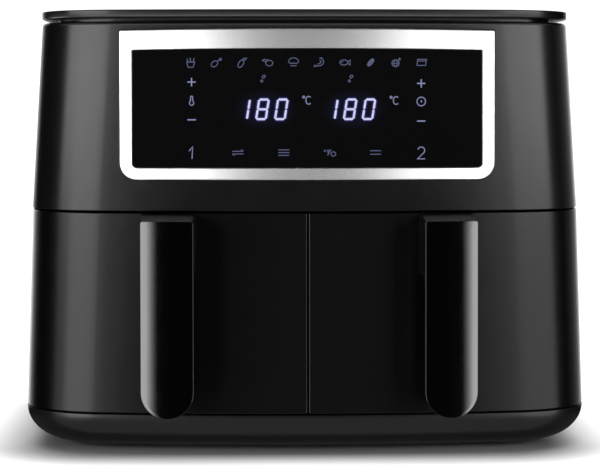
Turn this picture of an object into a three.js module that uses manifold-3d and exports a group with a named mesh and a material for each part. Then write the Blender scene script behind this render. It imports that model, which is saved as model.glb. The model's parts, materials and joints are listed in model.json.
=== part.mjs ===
// Dual-drawer air fryer, modelled as an assembly of separate pieces.
// Millimetres. Front faces -Y, +X is to the right, +Z is up.
// The origin is the centre of the whole object's footprint, on the surface it stands on.
import * as THREE from "three";
import { mergeVertices } from "three/addons/utils/BufferGeometryUtils.js";
import Module from "manifold-3d";

const wasm = await Module();
wasm.setup();

// ---------------------------------------------------------------- driving dimensions

const GAP = 0.3; // clearance between pieces that touch
const WALL = 3; // moulded plastic wall
const STEEL = 0.8; // sheet steel wall

const BASE_FLOOR = 3; // underside of the base tray, above the feet
const SEAM_LOW = 27.7; // top of the base tray
const SEAM_HIGH = 168.4; // between the drawers and the upper housing
const BODY_TOP = 300.1;
const LID_LOW = 302.3;
const LID_TOP = 308.2;

const HALF_WIDTH = { low: 200.4, seam: 195.8, top: 188 }; // the sides lean in towards the top
const FRONT = { low: -146, seam: -141.6, top: -136 }; // front-most point at each height
const REAR = 170; // flat rear wall
const BOW = 1007; // radius of the gently bowed front
const FRONT_CORNER = 61;
const REAR_CORNER = 45;

const BAY_FRONT = -66; // where the wrapped drawer fronts end on the sides
const DRAWER_X = 96.3; // centre of a drawer, its handle, its chamber and its fan
const FAN_Y = 15;
const HOOD_REAR = 183; // rear face of the exhaust hoods

const PANEL = { half: 130, low: 190.4, high: 294.9, lowCorner: 12, highCorner: 1, sag: 1.1 };
const GLASS = { half: 121.5, low: 199, high: 280.9, lowCorner: 4, highCorner: 1, sag: 1 };

const BASKET = { half: 76, front: -120, rear: 140, low: 36, high: 160, corner: 22, taper: 4 };
const CHAMBER = { half: 82, front: -62.1, rear: 150, low: 31.5, mouthTop: 165, high: 200 };
const DUCT = { half: 38, low: 168, high: 196 };

const DRAWER_LOW = SEAM_LOW + 0.8;
const DRAWER_HIGH = SEAM_HIGH - 0.6;
const SPLIT = 0.5; // half the gap between the two drawer fronts
const PAN_WALL = 1;
const RIM = { reach: 3.5, thickness: 1.5 };
const CRISPER = { height: 8, sheet: 1.5, skirt: 1.4 };

const HANDLE = { half: 17.9, reach: 40.3, low: 30.4, high: 164, rearHigh: 167.2, flare: 0.9 };
const COVER_THICKNESS = 2.5;
const GRIP = { depth: 10, gapTop: 125, fillet: 12 };
const SCREW = { radius: 2, head: 4, headHeight: 2.4, tip: -16, heights: [138, 158] };

const ELEMENT = { radius: 58, tube: 2.6, low: 174, high: 188, bend: 10, run: 34, leadAngle: 0.16 };
const GUARD = { low: 168.5, height: 2, rings: [20, 46, 71] };
const PROBE = { x: -58, y: 50, radius: 2.5, tip: 176 };
const SHAFT = { radius: 3, low: 186 };
const CHAMBER_FAN = { blades: 8, hub: 14, tip: 48, low: 187.5, high: 196.5, lean: 4 };
const COOLING_FAN = { blades: 6, hub: 12, tip: 44, low: 203.5, high: 213, lean: 5 };
const MOTOR = { radius: 28, low: 221, high: 262, rotor: 18 };

const REAR_PANEL = { half: 158, low: 48, high: 284, thickness: WALL };
const CORD_BUSH = { x: -128, z: 72, neck: 7, flange: 10, bore: 3.8 };
const FOOT = { x: 146, front: -90, rear: 118, radius: 9, plug: 5, plugTop: 7.5 };

const CARRIER = { half: 117, low: 203, high: 277, back: -119, floor: 2 };
const BOARD = { half: 112, low: 207, high: 273, front: -125.2, thickness: 1.6 };
const DIGITS = { x: { left: -26.9, right: 33.6 }, z: 239.2, half: 18, halfHeight: 10, depth: 8.2 };
const SHELF = { half: 30, front: -38, rear: 112, z: 203, thickness: 2 };
const SWITCH = { x: 8.2, z: 150, plungerRadius: 1.8, travel: 2 };

// ---------------------------------------------------------------- materials

function material(color, roughness, metalness = 0) {
  return new THREE.MeshStandardMaterial({ color, roughness, metalness });
}

const MATT_BLACK = material(0x141414, 0.55);
const GLOSS_BLACK = material(0x060606, 0.08);
const SILVER = material(0xc4c6c8, 0.22, 1);
const GLASS_BLACK = material(0x05050a, 0.05);
const INNER_PLASTIC = material(0x1c1c1e, 0.7);
const STEEL_SHEET = material(0xa8aaad, 0.35, 1);
const NON_STICK = material(0x26262a, 0.45, 0.3);
const RUBBER = material(0x101010, 0.9);
const BOARD_GREEN = material(0x17603a, 0.5);
const LIT_MODULE = material(0x9098d8, 0.4);
const ALUMINIUM = material(0xb9bcc0, 0.4, 1);
const ELEMENT_STEEL = material(0x5c5550, 0.5, 0.8);
const SCREW_STEEL = material(0x8b8d90, 0.3, 1);
const SWITCH_RED = material(0x8a2020, 0.5);

// ---------------------------------------------------------------- solids

// A closed geometry as a manifold-3d solid.
function solid(geometry) {
  const bare = geometry.index ? geometry.toNonIndexed() : geometry.clone();
  bare.deleteAttribute("normal");
  bare.deleteAttribute("uv");
  const merged = mergeVertices(bare, 1e-4);
  const mesh = new wasm.Mesh({
    numProp: 3,
    vertProperties: merged.attributes.position.array,
    triVerts: new Uint32Array(merged.index.array),
  });
  return new wasm.Manifold(mesh);
}

// The solid's vertices and triangles as a geometry.
function geometryOf(body) {
  const mesh = body.getMesh();
  const geometry = new THREE.BufferGeometry();
  geometry.setAttribute("position", new THREE.BufferAttribute(mesh.vertProperties, 3));
  geometry.setIndex(new THREE.BufferAttribute(mesh.triVerts, 1));
  geometry.computeVertexNormals();
  return geometry;
}

function join(first, ...others) {
  return others.reduce((sum, other) => sum.add(other), first);
}

function cut(first, ...others) {
  return others.reduce((rest, other) => rest.subtract(other), first);
}

function box(x0, x1, y0, y1, z0, z1) {
  const geometry = new THREE.BoxGeometry(Math.abs(x1 - x0), y1 - y0, z1 - z0);
  geometry.translate((x0 + x1) / 2, (y0 + y1) / 2, (z0 + z1) / 2);
  return solid(geometry);
}

// A body with its Y and Z swapped.
function swapYZ(body) {
  return body.rotate([-90, 0, 0]).mirror([0, 0, 1]);
}

// An outline drawn in X and Z, extruded along Y.
function prismY(shape, y0, y1, curveSegments = 6) {
  const settings = { depth: y1 - y0, bevelEnabled: false, curveSegments };
  return swapYZ(solid(new THREE.ExtrudeGeometry(shape, settings))).translate([0, y0, 0]);
}

// An outline drawn in Y and Z, extruded along X.
function prismX(shape, x0, x1, curveSegments = 6) {
  const geometry = new THREE.ExtrudeGeometry(shape, { depth: x1 - x0, bevelEnabled: false, curveSegments });
  geometry.rotateX(Math.PI / 2);
  geometry.rotateZ(Math.PI / 2);
  geometry.translate(x0, 0, 0);
  return solid(geometry);
}

// A profile of [radius, height] points, from the axis round to the axis, turned about Z.
function turned(profile, segments = 24) {
  const points = profile.map(([r, z]) => new THREE.Vector2(r, z));
  const geometry = new THREE.LatheGeometry(points, segments);
  geometry.rotateX(Math.PI / 2);
  return solid(geometry);
}

function rod(radius, z0, z1, segments = 16) {
  return turned([[0, z0], [radius, z0], [radius, z1], [0, z1]], segments);
}

// A ring-shaped profile of [radius, height] points, turned about Z.
function turnedRing(profile, segments = 24) {
  return turned([...profile, profile[0]], segments);
}

function rodY(radius, y0, y1, segments = 16) {
  return swapYZ(rod(radius, y0, y1, segments));
}

function tube(curve, radius, sides, steps) {
  const section = new THREE.Shape();
  section.absarc(0, 0, radius, 0, 2 * Math.PI, false);
  const settings = { extrudePath: curve, steps, bevelEnabled: false, curveSegments: sides / 2 };
  return solid(new THREE.ExtrudeGeometry(section, settings));
}

// A solid through rings of equal point count, each { z, points }, counterclockwise from above.
function loft(rings) {
  const count = rings[0].points.length;
  const positions = rings.flatMap(({ z, points }) => points.flatMap((p) => [p.x, p.y, z]));
  const cap = THREE.ShapeUtils.triangulateShape(rings[0].points, []);
  const last = (rings.length - 1) * count;
  const index = [];
  for (const [a, b, c] of cap) {
    index.push(a, c, b);
    index.push(last + a, last + b, last + c);
  }
  for (let ring = 0; ring + 1 < rings.length; ring++) {
    for (let i = 0; i < count; i++) {
      const a = ring * count + i;
      const b = ring * count + ((i + 1) % count);
      index.push(a, b, b + count, a, b + count, a + count);
    }
  }
  const geometry = new THREE.BufferGeometry();
  geometry.setAttribute("position", new THREE.Float32BufferAttribute(positions, 3));
  geometry.setIndex(index);
  return solid(geometry);
}

// A piece made round X = 0, moved to its drawer's middle; the left one is the right one's mirror image.
function onSide(body, side) {
  return (side < 0 ? body.mirror([1, 0, 0]) : body).translate([side * DRAWER_X, 0, 0]);
}

// A loft whose rings are drawn in X and Z, each at its own y.
function loftY(rings) {
  return swapYZ(loft(rings.map(({ y, points }) => ({ z: y, points }))));
}

// ---------------------------------------------------------------- outlines

// The points of an arc after its first, so that arcs chain into one outline.
function arc(x, y, radius, from, to, steps) {
  const points = [];
  for (let i = 1; i <= steps; i++) {
    const angle = from + ((to - from) * i) / steps;
    points.push(new THREE.Vector2(x + radius * Math.cos(angle), y + radius * Math.sin(angle)));
  }
  return points;
}

// The body's plan: bowed front, large front corners, straight sides, flat rear. inset moves it inwards.
function plan(halfWidth, front, inset = 0, rear = REAR) {
  const cornerX = halfWidth - FRONT_CORNER;
  const bowCentre = front + BOW;
  const swing = Math.asin(cornerX / (BOW - FRONT_CORNER));
  const cornerY = bowCentre - (BOW - FRONT_CORNER) * Math.cos(swing);
  const rearX = halfWidth - REAR_CORNER;
  const rearY = rear - REAR_CORNER;
  const down = -Math.PI / 2;
  return [
    ...arc(0, bowCentre, BOW - inset, down - swing, down + swing, 14),
    ...arc(cornerX, cornerY, FRONT_CORNER - inset, down + swing, 0, 9),
    new THREE.Vector2(halfWidth - inset, rearY),
    ...arc(rearX, rearY, REAR_CORNER - inset, 0, Math.PI / 2, 6),
    new THREE.Vector2(-rearX, rear - inset),
    ...arc(-rearX, rearY, REAR_CORNER - inset, Math.PI / 2, Math.PI, 6),
    new THREE.Vector2(inset - halfWidth, cornerY),
    ...arc(-cornerX, cornerY, FRONT_CORNER - inset, Math.PI, 1.5 * Math.PI - swing, 9),
  ];
}

function mix(a, b, t) {
  return a + (b - a) * t;
}

// A value given at the low seam, the high seam and the top, at height z.
function atHeight(levels, z) {
  if (z <= SEAM_HIGH) return mix(levels.low, levels.seam, (z - SEAM_LOW) / (SEAM_HIGH - SEAM_LOW));
  return mix(levels.seam, levels.top, (z - SEAM_HIGH) / (BODY_TOP - SEAM_HIGH));
}

function bodyRing(z, inset = 0) {
  return { z, points: plan(atHeight(HALF_WIDTH, z), atHeight(FRONT, z), inset) };
}

// Everything inside the body's surface moved in by inset, from z0 up to z1.
function envelope(inset, z0, z1) {
  const heights = z0 < SEAM_HIGH && z1 > SEAM_HIGH ? [z0, SEAM_HIGH, z1] : [z0, z1];
  return loft(heights.map((z) => bodyRing(z, inset)));
}

// A rectangle with rounded corners, as points, counterclockwise.
function roundedRectangle(x0, x1, y0, y1, radius, steps = 5) {
  const quarter = Math.PI / 2;
  return [
    ...[[x1 - radius, y0 + radius, -1], [x1 - radius, y1 - radius, 0]],
    ...[[x0 + radius, y1 - radius, 1], [x0 + radius, y0 + radius, 2]],
  ].flatMap(([x, y, turn]) => [
    new THREE.Vector2(x + radius * Math.cos(turn * quarter), y + radius * Math.sin(turn * quarter)),
    ...arc(x, y, radius, turn * quarter, (turn + 1) * quarter, steps),
  ]);
}

// The bezel's and the glass's outline in X and Z: rounded below, nearly sharp above. Its top edge is
// lower at the ends than in the middle by sag.
function panelOutline({ half, low, high, lowCorner, highCorner, sag }, grow = 0) {
  const shape = new THREE.Shape();
  const x = half + grow;
  const bottom = low - grow;
  const top = high + grow;
  const r = lowCorner + grow;
  const s = highCorner + Math.max(grow, 0);
  shape.moveTo(-x + r, bottom);
  shape.lineTo(x - r, bottom);
  shape.absarc(x - r, bottom + r, r, -Math.PI / 2, 0, false);
  shape.lineTo(x, top - sag - s);
  const steps = 12;
  for (let i = 0; i <= steps; i += 1) {
    const share = 1 - (2 * i) / steps;
    shape.lineTo(share * (x - s), top - sag * share * share);
  }
  shape.lineTo(-x, top - sag - s);
  shape.lineTo(-x, bottom + r);
  shape.absarc(-x + r, bottom + r, r, Math.PI, 1.5 * Math.PI, false);
  return shape;
}

// ---------------------------------------------------------------- the assembly

const fryer = new THREE.Group();

function add(name, body, look) {
  const mesh = new THREE.Mesh(geometryOf(body), look);
  mesh.name = name;
  fryer.add(mesh);
  return mesh;
}

// ---------------------------------------------------------------- housing

// Sides, rear rim, upper front and top wall in one moulding, open where the drawers go.
function mainHousing() {
  const bottom = SEAM_LOW + 0.5;
  const lintel = SEAM_HIGH + 0.5;
  const edge = 2.5;
  const rounded = [0, 0.5, 1].map((t) => {
    const angle = (t * Math.PI) / 2;
    return bodyRing(BODY_TOP - edge + edge * Math.sin(angle), edge * (1 - Math.cos(angle)));
  });
  const outer = loft([bodyRing(bottom), bodyRing(SEAM_HIGH), ...rounded]);
  const upperRoom = envelope(WALL, lintel + WALL, BODY_TOP - WALL);
  const lowerRoom = envelope(WALL, bottom - 1, lintel + WALL + 1).subtract(
    box(-250, 250, -200, CHAMBER.front - 1, 0, 400),
  );
  const drawerRoom = box(-250, 250, -200, BAY_FRONT, 0, lintel);
  const topOpening = box(-140, 140, -50, 130, 290, 310);
  const window = prismY(panelOutline(PANEL, GAP), -160, -100);
  const { half, low, high } = REAR_PANEL;
  const rearOpening = box(-half - GAP, half + GAP, REAR - 10, REAR + 5, low - GAP, high + GAP);
  const bayOpening = box(-192, 192, -80, BAY_FRONT + 6, 0, lintel);
  return cut(outer, upperRoom, lowerRoom, drawerRoom, bayOpening, topOpening, window, rearOpening);
}

// The floating lid: a thin plate on a recessed neck, with a skirt that drops into the housing.
function topCover() {
  const lidRing = (z, inset) => ({ z, points: plan(HALF_WIDTH.top + 0.4, FRONT.top, inset) });
  const plate = loft([
    lidRing(LID_LOW, 1.4),
    lidRing(LID_LOW + 0.5, 0.5),
    lidRing(LID_LOW + 1.3, 0),
    lidRing(LID_TOP - 0.9, 0),
    lidRing(LID_TOP - 0.3, 0.3),
    lidRing(LID_TOP, 0.9),
  ]);
  const neckLow = BODY_TOP + GAP;
  const neck = loft([lidRing(neckLow, 11.5), lidRing(LID_LOW + 1, 11.5)]);
  const skirtLow = BODY_TOP - 9;
  const skirt = box(-139, 139, -49, 129, skirtLow, LID_LOW + 1);
  const hollow = box(-136, 136, -46, 126, skirtLow - 1, LID_TOP - WALL);
  return cut(join(plate, neck, skirt), hollow);
}

// The rounded tray under everything, with a deck under the drawer fronts and a hollow inside.
function baseTray() {
  const depth = SEAM_LOW - BASE_FLOOR;
  const sweep = 31;
  const rings = (inset, zShift) =>
    [1, 0.75, 0.5, 0.25, 0].map((t) => {
      const angle = (t * Math.PI) / 2;
      const z = SEAM_LOW - depth * Math.sin(angle) + zShift;
      const points = plan(HALF_WIDTH.low, FRONT.low, inset + sweep * (1 - Math.cos(angle)));
      return { z, points };
    });
  const outer = loft(rings(0, 0));
  const inner = loft(rings(WALL, WALL));
  const deckRoom = inner.intersect(box(-250, 250, -200, BAY_FRONT + 6, 0, SEAM_LOW - WALL));
  const openRoom = inner.intersect(box(-250, 250, BAY_FRONT + 5.9, 200, 0, 60));
  const slots = [-2, -1, 0, 1, 2].map((i) => box(i * 14 - 3, i * 14 + 3, 20, 80, 0, 10));
  const footHoles = footPlaces().map(([x, y]) => rod(FOOT.plug + GAP, 0, 10, 12).translate([x, y, 0]));
  return cut(outer, deckRoom, openRoom, ...slots, ...footHoles);
}

function footPlaces() {
  const { x, front, rear } = FOOT;
  return [[-x, front], [x, front], [-x, rear], [x, rear]];
}

// A round rubber pad with a plug that snaps into the tray's floor.
function foot() {
  const { radius, plug, plugTop } = FOOT;
  const padTop = BASE_FLOOR - GAP;
  const pad = [[0, 0], [radius - 0.8, 0], [radius, 0.8], [radius, padTop], [plug, padTop]];
  return turned([...pad, [plug, plugTop], [0, plugTop]], 14);
}

// The wall behind the drawer fronts, with a mouth for each basket and a hole for each plunger.
function frontFrame() {
  const front = BAY_FRONT + 0.6;
  const back = CHAMBER.front - GAP;
  const wall = envelope(WALL + GAP, SEAM_LOW + 0.8, SEAM_HIGH + 0.2).intersect(
    box(-191.5, 191.5, front, back, 0, 300),
  );
  const mouths = [-1, 1].map((side) => {
    const x = side * DRAWER_X;
    const half = CHAMBER.half - 1.5;
    return box(x - half, x + half, -80, -50, CHAMBER.low + 1.5, CHAMBER.mouthTop);
  });
  const plungerHoles = [-1, 1].map((side) =>
    rodY(SWITCH.plungerRadius + 0.4, -80, -50, 12).translate([side * SWITCH.x, 0, SWITCH.z]),
  );
  return cut(wall, ...mouths, ...plungerHoles);
}

// An upright web between the chambers with a shelf for the power board.
function centrePartition() {
  const { half, front, rear, z, thickness } = SHELF;
  const floor = SEAM_LOW + 2.6;
  const web = box(-1.5, 1.5, front - 2, CHAMBER.rear, floor, z);
  const top = box(-half, half, front, rear, z - 0.1, z + thickness);
  const flange = box(-9, 9, front, CHAMBER.rear, floor, floor + 2);
  return join(web, top, flange);
}

function slotRow(count, pitch, width, x, y0, y1, z0, z1) {
  return Array.from({ length: count }, (_, i) => {
    const middle = x + (i - (count - 1) / 2) * pitch;
    return box(middle - width / 2, middle + width / 2, y0, y1, z0, z1);
  });
}

// The rear panel: a hood with slots over each exhaust duct, and intake slots above and below.
function rearCover() {
  const { half, low, high, thickness } = REAR_PANEL;
  const plate = box(-half, half, REAR - thickness, REAR, low, high);
  const hoods = [];
  const openings = [];
  for (const side of [-1, 1]) {
    const x = side * DRAWER_X;
    const hoodRing = (y, grow) => {
      const [outer, low, high] = [DUCT.half + grow, DUCT.low - grow, DUCT.high + grow];
      return { y, points: roundedRectangle(x - outer, x + outer, low, high, grow, 3) };
    };
    hoods.push(loftY([hoodRing(REAR - 1, WALL + 6), hoodRing(HOOD_REAR, WALL)]));
    openings.push(box(x - DUCT.half, x + DUCT.half, REAR - 10, HOOD_REAR - WALL, DUCT.low, DUCT.high));
    openings.push(...slotRow(8, 9, 5, x, HOOD_REAR - 6, HOOD_REAR + 5, DUCT.low + 2, DUCT.high - 2));
    openings.push(...slotRow(9, 9, 4.5, x, REAR - 10, REAR + 5, 232, 262));
  }
  openings.push(rodY(CORD_BUSH.neck + GAP, REAR - 10, REAR + 5, 16).translate([CORD_BUSH.x, 0, CORD_BUSH.z]));
  return cut(join(plate, ...hoods), ...openings);
}

// The bush that the mains lead would leave through. Its flange sits on the outside of the rear panel.
function cordInlet() {
  const { neck, flange, bore } = CORD_BUSH;
  const profile = [[bore, -7], [neck, -7], [neck, GAP], [flange, GAP], [flange - 1, 3], [bore + 0.6, 3]];
  return swapYZ(turnedRing(profile, 16)).translate([CORD_BUSH.x, REAR, CORD_BUSH.z]);
}

// ---------------------------------------------------------------- control panel

// What lies between two depths under the body's front surface, inside an outline in X and Z.
function frontSkin(shape, outset, inset) {
  const skin = envelope(outset, 180, 299).subtract(envelope(inset, 179, 300));
  return skin.intersect(prismY(shape, -170, -100));
}

function panelBezel() {
  return frontSkin(panelOutline(PANEL), -1, 4).subtract(prismY(panelOutline(GLASS, GAP), -170, -100));
}

function controlGlass() {
  return frontSkin(panelOutline(GLASS), -0.4, 2.2);
}

// A tray behind the glass whose rim follows the glass, open to the front.
function displayCarrier() {
  const { half, low, high, back, floor } = CARRIER;
  const block = envelope(2.2 + GAP, 180, 299).intersect(box(-half, half, -170, back, low, high));
  return block.subtract(box(-half + 2, half - 2, -200, back - floor, low + 2, high - 2));
}

function displayBoard() {
  const { half, low, high, front, thickness } = BOARD;
  const plate = box(-half, half, front, front + thickness, low, high);
  const chips = [-70, -10, 75].map((x) => box(x - 7, x + 7, front - 1.5, front + 0.1, low + 5, low + 15));
  return join(plate, ...chips);
}

// A seven-segment block for one three-digit reading.
function digitModule(x) {
  const { z, half, halfHeight, depth } = DIGITS;
  const rear = BOARD.front - GAP;
  return box(x - half, x + half, rear - depth, rear, z - halfHeight, z + halfHeight);
}

// ---------------------------------------------------------------- drawers

// The moulded front: a bowed shell with a top, a bottom and an inner side, open to the rear.
function drawerFront(side) {
  const region = box(side * SPLIT, side * 250, -200, BAY_FRONT - 0.6, DRAWER_LOW, DRAWER_HIGH);
  const outer = envelope(0, SEAM_LOW, SEAM_HIGH).intersect(region);
  const pocket = envelope(WALL, SEAM_LOW, SEAM_HIGH).intersect(
    box(side * (SPLIT + WALL), side * 250, -200, -50, DRAWER_LOW + WALL, DRAWER_HIGH - WALL),
  );
  return cut(outer, pocket, ...handleScrewHoles(side));
}

function basketRing(z, grow) {
  const { half, front, rear, low, high, corner, taper } = BASKET;
  const inset = taper * (1 - (z - low) / (high - low)) - grow;
  const points = roundedRectangle(-half + inset, half - inset, front + inset, rear - inset, corner - inset);
  return { z, points };
}

function basketBlock(grow, z0, z1) {
  return loft([basketRing(z0, grow), basketRing(z1, grow)]);
}

// The coated pan: tapered walls, a flat floor and a turned-out rim.
function basket(side) {
  const { low, high } = BASKET;
  const pan = join(basketBlock(0, low, high), basketBlock(RIM.reach, high - RIM.thickness, high));
  const inside = basketBlock(-PAN_WALL, low + PAN_WALL, high + 1);
  return onSide(pan.subtract(inside), side);
}

// The plate that closes the drawer front's rear and carries the basket.
function drawerInnerPanel(side) {
  const back = BAY_FRONT - 0.9;
  const slab = box(side * (SPLIT + WALL + GAP), side * 250, back - WALL, back, 0, 300);
  const plate = envelope(WALL + GAP, DRAWER_LOW + WALL + GAP, DRAWER_HIGH - WALL - GAP).intersect(slab);
  const { low, high } = BASKET;
  const x = side * DRAWER_X;
  const panHole = onSide(basketBlock(0.4, low - 0.4, high), side);
  const rimHalf = BASKET.half + RIM.reach + 0.4;
  const rimHole = box(x - rimHalf, x + rimHalf, -100, -50, high - RIM.thickness - 0.4, high + 10);
  return cut(plate, panHole, rimHole);
}

// The perforated plate that food lies on, with a turned-down rim that stands on the basket's floor.
function crisperPlate(side) {
  const floor = BASKET.low + PAN_WALL + GAP;
  const top = floor + CRISPER.height;
  const clearance = 1;
  const outline = (z, inset) => ({ z, points: basketRing(floor, -PAN_WALL - clearance - inset).points });
  const plate = loft([outline(floor, 0), outline(top, 0)]);
  const hollow = loft([outline(floor - 1, CRISPER.skirt), outline(top - CRISPER.sheet, CRISPER.skirt)]);
  const slots = [];
  for (let row = -3; row <= 3; row++) {
    slots.push(...slotRow(4, 30, 8, 0, row * 30 + 4, row * 30 + 20, floor - 5, top + 5));
  }
  return onSide(cut(plate, hollow, ...slots), side);
}

// ---------------------------------------------------------------- handles

// The drawer's front surface at the middle of a handle, at height z.
function drawerFace(z) {
  return atHeight(FRONT, z) + BOW - Math.sqrt(BOW ** 2 - DRAWER_X ** 2);
}

// The handle seen from the front, as points in X and Z: square above, half round below.
function handleOutline(half, low, high) {
  return [
    new THREE.Vector2(half, high),
    new THREE.Vector2(-half, high),
    new THREE.Vector2(-half, low + half),
    ...arc(0, low + half, half, Math.PI, 2 * Math.PI, 12),
  ];
}

// What lies between two distances in front of the drawers' curved faces.
function inFrontOfDrawers(near, far) {
  const levels = [HANDLE.low - 5, HANDLE.rearHigh + 5];
  return envelope(-far, ...levels).subtract(envelope(-near, levels[0] - 1, levels[1] + 1));
}

// A block against the drawer that a grip bar hangs from, with room for fingers behind the bar.
function handleBody(side) {
  const { half, low, high, rearHigh, flare } = HANDLE;
  const front = HANDLE.reach - COVER_THICKNESS - GAP;
  const outline = (inset) => handleOutline(half - inset, low + inset, rearHigh + 5);
  const column = loftY([{ y: -200, points: outline(0.7 + flare) }, { y: -135, points: outline(-flare) }]);
  const { depth, gapTop, fillet } = GRIP;
  const gap = new THREE.Shape();
  const barRear = (z) => drawerFace(z) - front + depth;
  const filletZ = gapTop - fillet;
  gap.moveTo(barRear(filletZ), filletZ);
  gap.absarc(barRear(filletZ) + fillet, filletZ, fillet, Math.PI, Math.PI / 2, true);
  gap.lineTo(-100, gapTop);
  gap.lineTo(-100, low - 10);
  gap.lineTo(barRear(low - 10), low - 10);
  const slope = new THREE.Shape();
  slope.moveTo(drawerFace(rearHigh) + 5, rearHigh);
  slope.lineTo(drawerFace(rearHigh), rearHigh);
  slope.lineTo(drawerFace(high) - front, high - 0.2);
  slope.lineTo(-250, high - 2);
  slope.lineTo(-250, 200);
  slope.lineTo(drawerFace(rearHigh) + 5, 200);
  const cutters = [prismX(gap, -50, 50), prismX(slope, -50, 50)];
  const holes = SCREW.heights.map((z) => {
    const tip = drawerFace(z) + SCREW.tip - 1;
    return rodY(SCREW.radius + GAP, tip, -100, 12).translate([0, 0, z]);
  });
  const shaped = cut(column, ...cutters, ...holes).translate([side * DRAWER_X, 0, 0]);
  return shaped.intersect(inFrontOfDrawers(0.4, front));
}

// The glossy plate on the grip, bowed like the drawer behind it.
function handleCover(side) {
  const { half, low, high, reach } = HANDLE;
  const points = handleOutline(half, low, high);
  const column = loftY([{ y: -200, points }, { y: -135, points }]).translate([side * DRAWER_X, 0, 0]);
  return column.intersect(inFrontOfDrawers(reach - COVER_THICKNESS, reach));
}

// A screw from inside the drawer front into the handle's block.
function handleScrew(side, z) {
  const { radius, head, headHeight, tip } = SCREW;
  const seat = WALL + 2 * GAP;
  const top = seat + headHeight;
  const shank = [[0, tip], [radius, tip], [radius, seat], [head, seat]];
  const body = turned([...shank, [head, top - 0.6], [head - 0.6, top], [0, top]], 10);
  return swapYZ(body).translate([side * DRAWER_X, drawerFace(z), z]);
}

// Holes through the drawer front for the handle's screws.
function handleScrewHoles(side) {
  return SCREW.heights.map((z) => rodY(SCREW.radius + GAP, -200, -100, 12).translate([side * DRAWER_X, 0, z]));
}

// ---------------------------------------------------------------- heating

// The steel liner: a box open to the front below the lintel, with a taller heating room above.
function chamber(side) {
  const { half, front, rear, low, mouthTop, high } = CHAMBER;
  const outer = box(-half, half, front, rear, low, high);
  const inside = box(-half + STEEL, half - STEEL, front + STEEL, rear - STEEL, low + STEEL, high - STEEL);
  const mouth = box(-half + STEEL, half - STEEL, front - 5, front + 5, low + STEEL, mouthTop);
  const ceiling = high - 5;
  const holes = [
    rod(SHAFT.radius + 2, ceiling, high + 5).translate([0, FAN_Y, 0]),
    rod(PROBE.radius + 0.4, ceiling, high + 5, 12).translate([PROBE.x, PROBE.y, 0]),
    ...[-1, 1].map((end) => {
      const lead = Math.hypot(ELEMENT.radius, ELEMENT.run);
      const [x, y] = [lead * Math.cos(ELEMENT.leadAngle), end * lead * Math.sin(ELEMENT.leadAngle)];
      return rod(ELEMENT.tube + 0.8, ceiling, high + 5, 12).translate([x, FAN_Y + y, 0]);
    }),
    box(-DUCT.half + 2, DUCT.half - 2, rear - 5, rear + 5, DUCT.low + 3, DUCT.high - 2),
  ];
  return onSide(cut(outer, inside, mouth, ...holes), side);
}

// A sheathed element: nearly two turns under the fan, its ends bending up through the chamber's ceiling.
function heatingElement(side) {
  const { radius, low, high, bend, run, leadAngle } = ELEMENT;
  const top = CHAMBER.high + 12;
  const first = leadAngle + Math.atan2(run, radius);
  const last = 4 * Math.PI - first;
  const at = (angle, along, z) => {
    const [c, s] = [Math.cos(angle), Math.sin(angle)];
    return new THREE.Vector3(radius * c - along * s, radius * s + along * c, z);
  };
  // The quarter bend between an upright lead and the level run to the coil; end is -1 at the coil's start.
  const elbow = (angle, end, z) =>
    [0, 0.25, 0.5, 0.75, 1].map((t) => {
      const turn = (t * Math.PI) / 2;
      return at(angle, end * (run - bend * (1 - Math.cos(turn))), z + bend * (1 - Math.sin(turn)));
    });
  const coil = [];
  const bends = 24;
  for (let i = 0; i <= bends; i++) coil.push(at(mix(first, last, i / bends), 0, mix(high, low, i / bends)));
  const points = [at(first, -run, top), ...elbow(first, -1, high), ...coil];
  points.push(...elbow(last, 1, low).reverse(), at(last, run, top));
  const curve = new THREE.CatmullRomCurve3(points, false, "centripetal");
  return onSide(tube(curve, ELEMENT.tube, 6, 90).translate([0, FAN_Y, 0]), side);
}

// A wire guard under the element: rings and spokes, hung from the ceiling on three posts.
function heaterGuard(side) {
  const low = GUARD.low;
  const high = low + GUARD.height;
  const reach = GUARD.rings.at(-1);
  const rings = GUARD.rings.map((r) =>
    turnedRing([[r - 1, low], [r + 1, low], [r + 1, high], [r - 1, high]], 18),
  );
  const spokes = [0, 60, 120].map((angle) =>
    box(-reach, reach, -1, 1, low + 0.2, high - 0.2).rotate([0, 0, angle]),
  );
  const ceiling = CHAMBER.high - STEEL - GAP;
  const posts = [60, 180, 300].map((angle) =>
    box(reach - 1, reach + 1, -3, 3, low + 0.1, ceiling).rotate([0, 0, angle]),
  );
  return onSide(join(...rings, ...spokes, ...posts).translate([0, FAN_Y, 0]), side);
}

// A flat hub plate with upright blades and a boss that fits the shaft.
function bladeWheel(side, { blades, hub, tip, low, high, lean }) {
  const plateLow = high - 1.2;
  const plate = turned([[0, plateLow], [tip - 4, plateLow], [tip - 4, high], [0, high]], 24);
  const boss = rod(8, low, high, 16);
  const vanes = Array.from({ length: blades }, (_, i) =>
    box(hub, tip, -0.7, 0.7, low, high - 0.1).translate([0, lean, 0]).rotate([0, 0, (i * 360) / blades]),
  );
  const wheel = cut(join(plate, boss, ...vanes), rod(SHAFT.radius + GAP, low - 5, high + 5, 16));
  return onSide(wheel.translate([0, FAN_Y, 0]), side);
}

// The stator can, open below, with a bearing hole in its top.
function fanMotor(side) {
  const { radius, low, high } = MOTOR;
  const room = MOTOR.rotor + 1.5;
  const hole = SHAFT.radius + 0.4;
  const profile = [[room, low], [radius, low], [radius, high - 2], [radius - 2, high]];
  profile.push([hole, high], [hole, high - 3], [room, high - 3]);
  return onSide(turnedRing(profile, 20).translate([0, FAN_Y, 0]), side);
}

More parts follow.
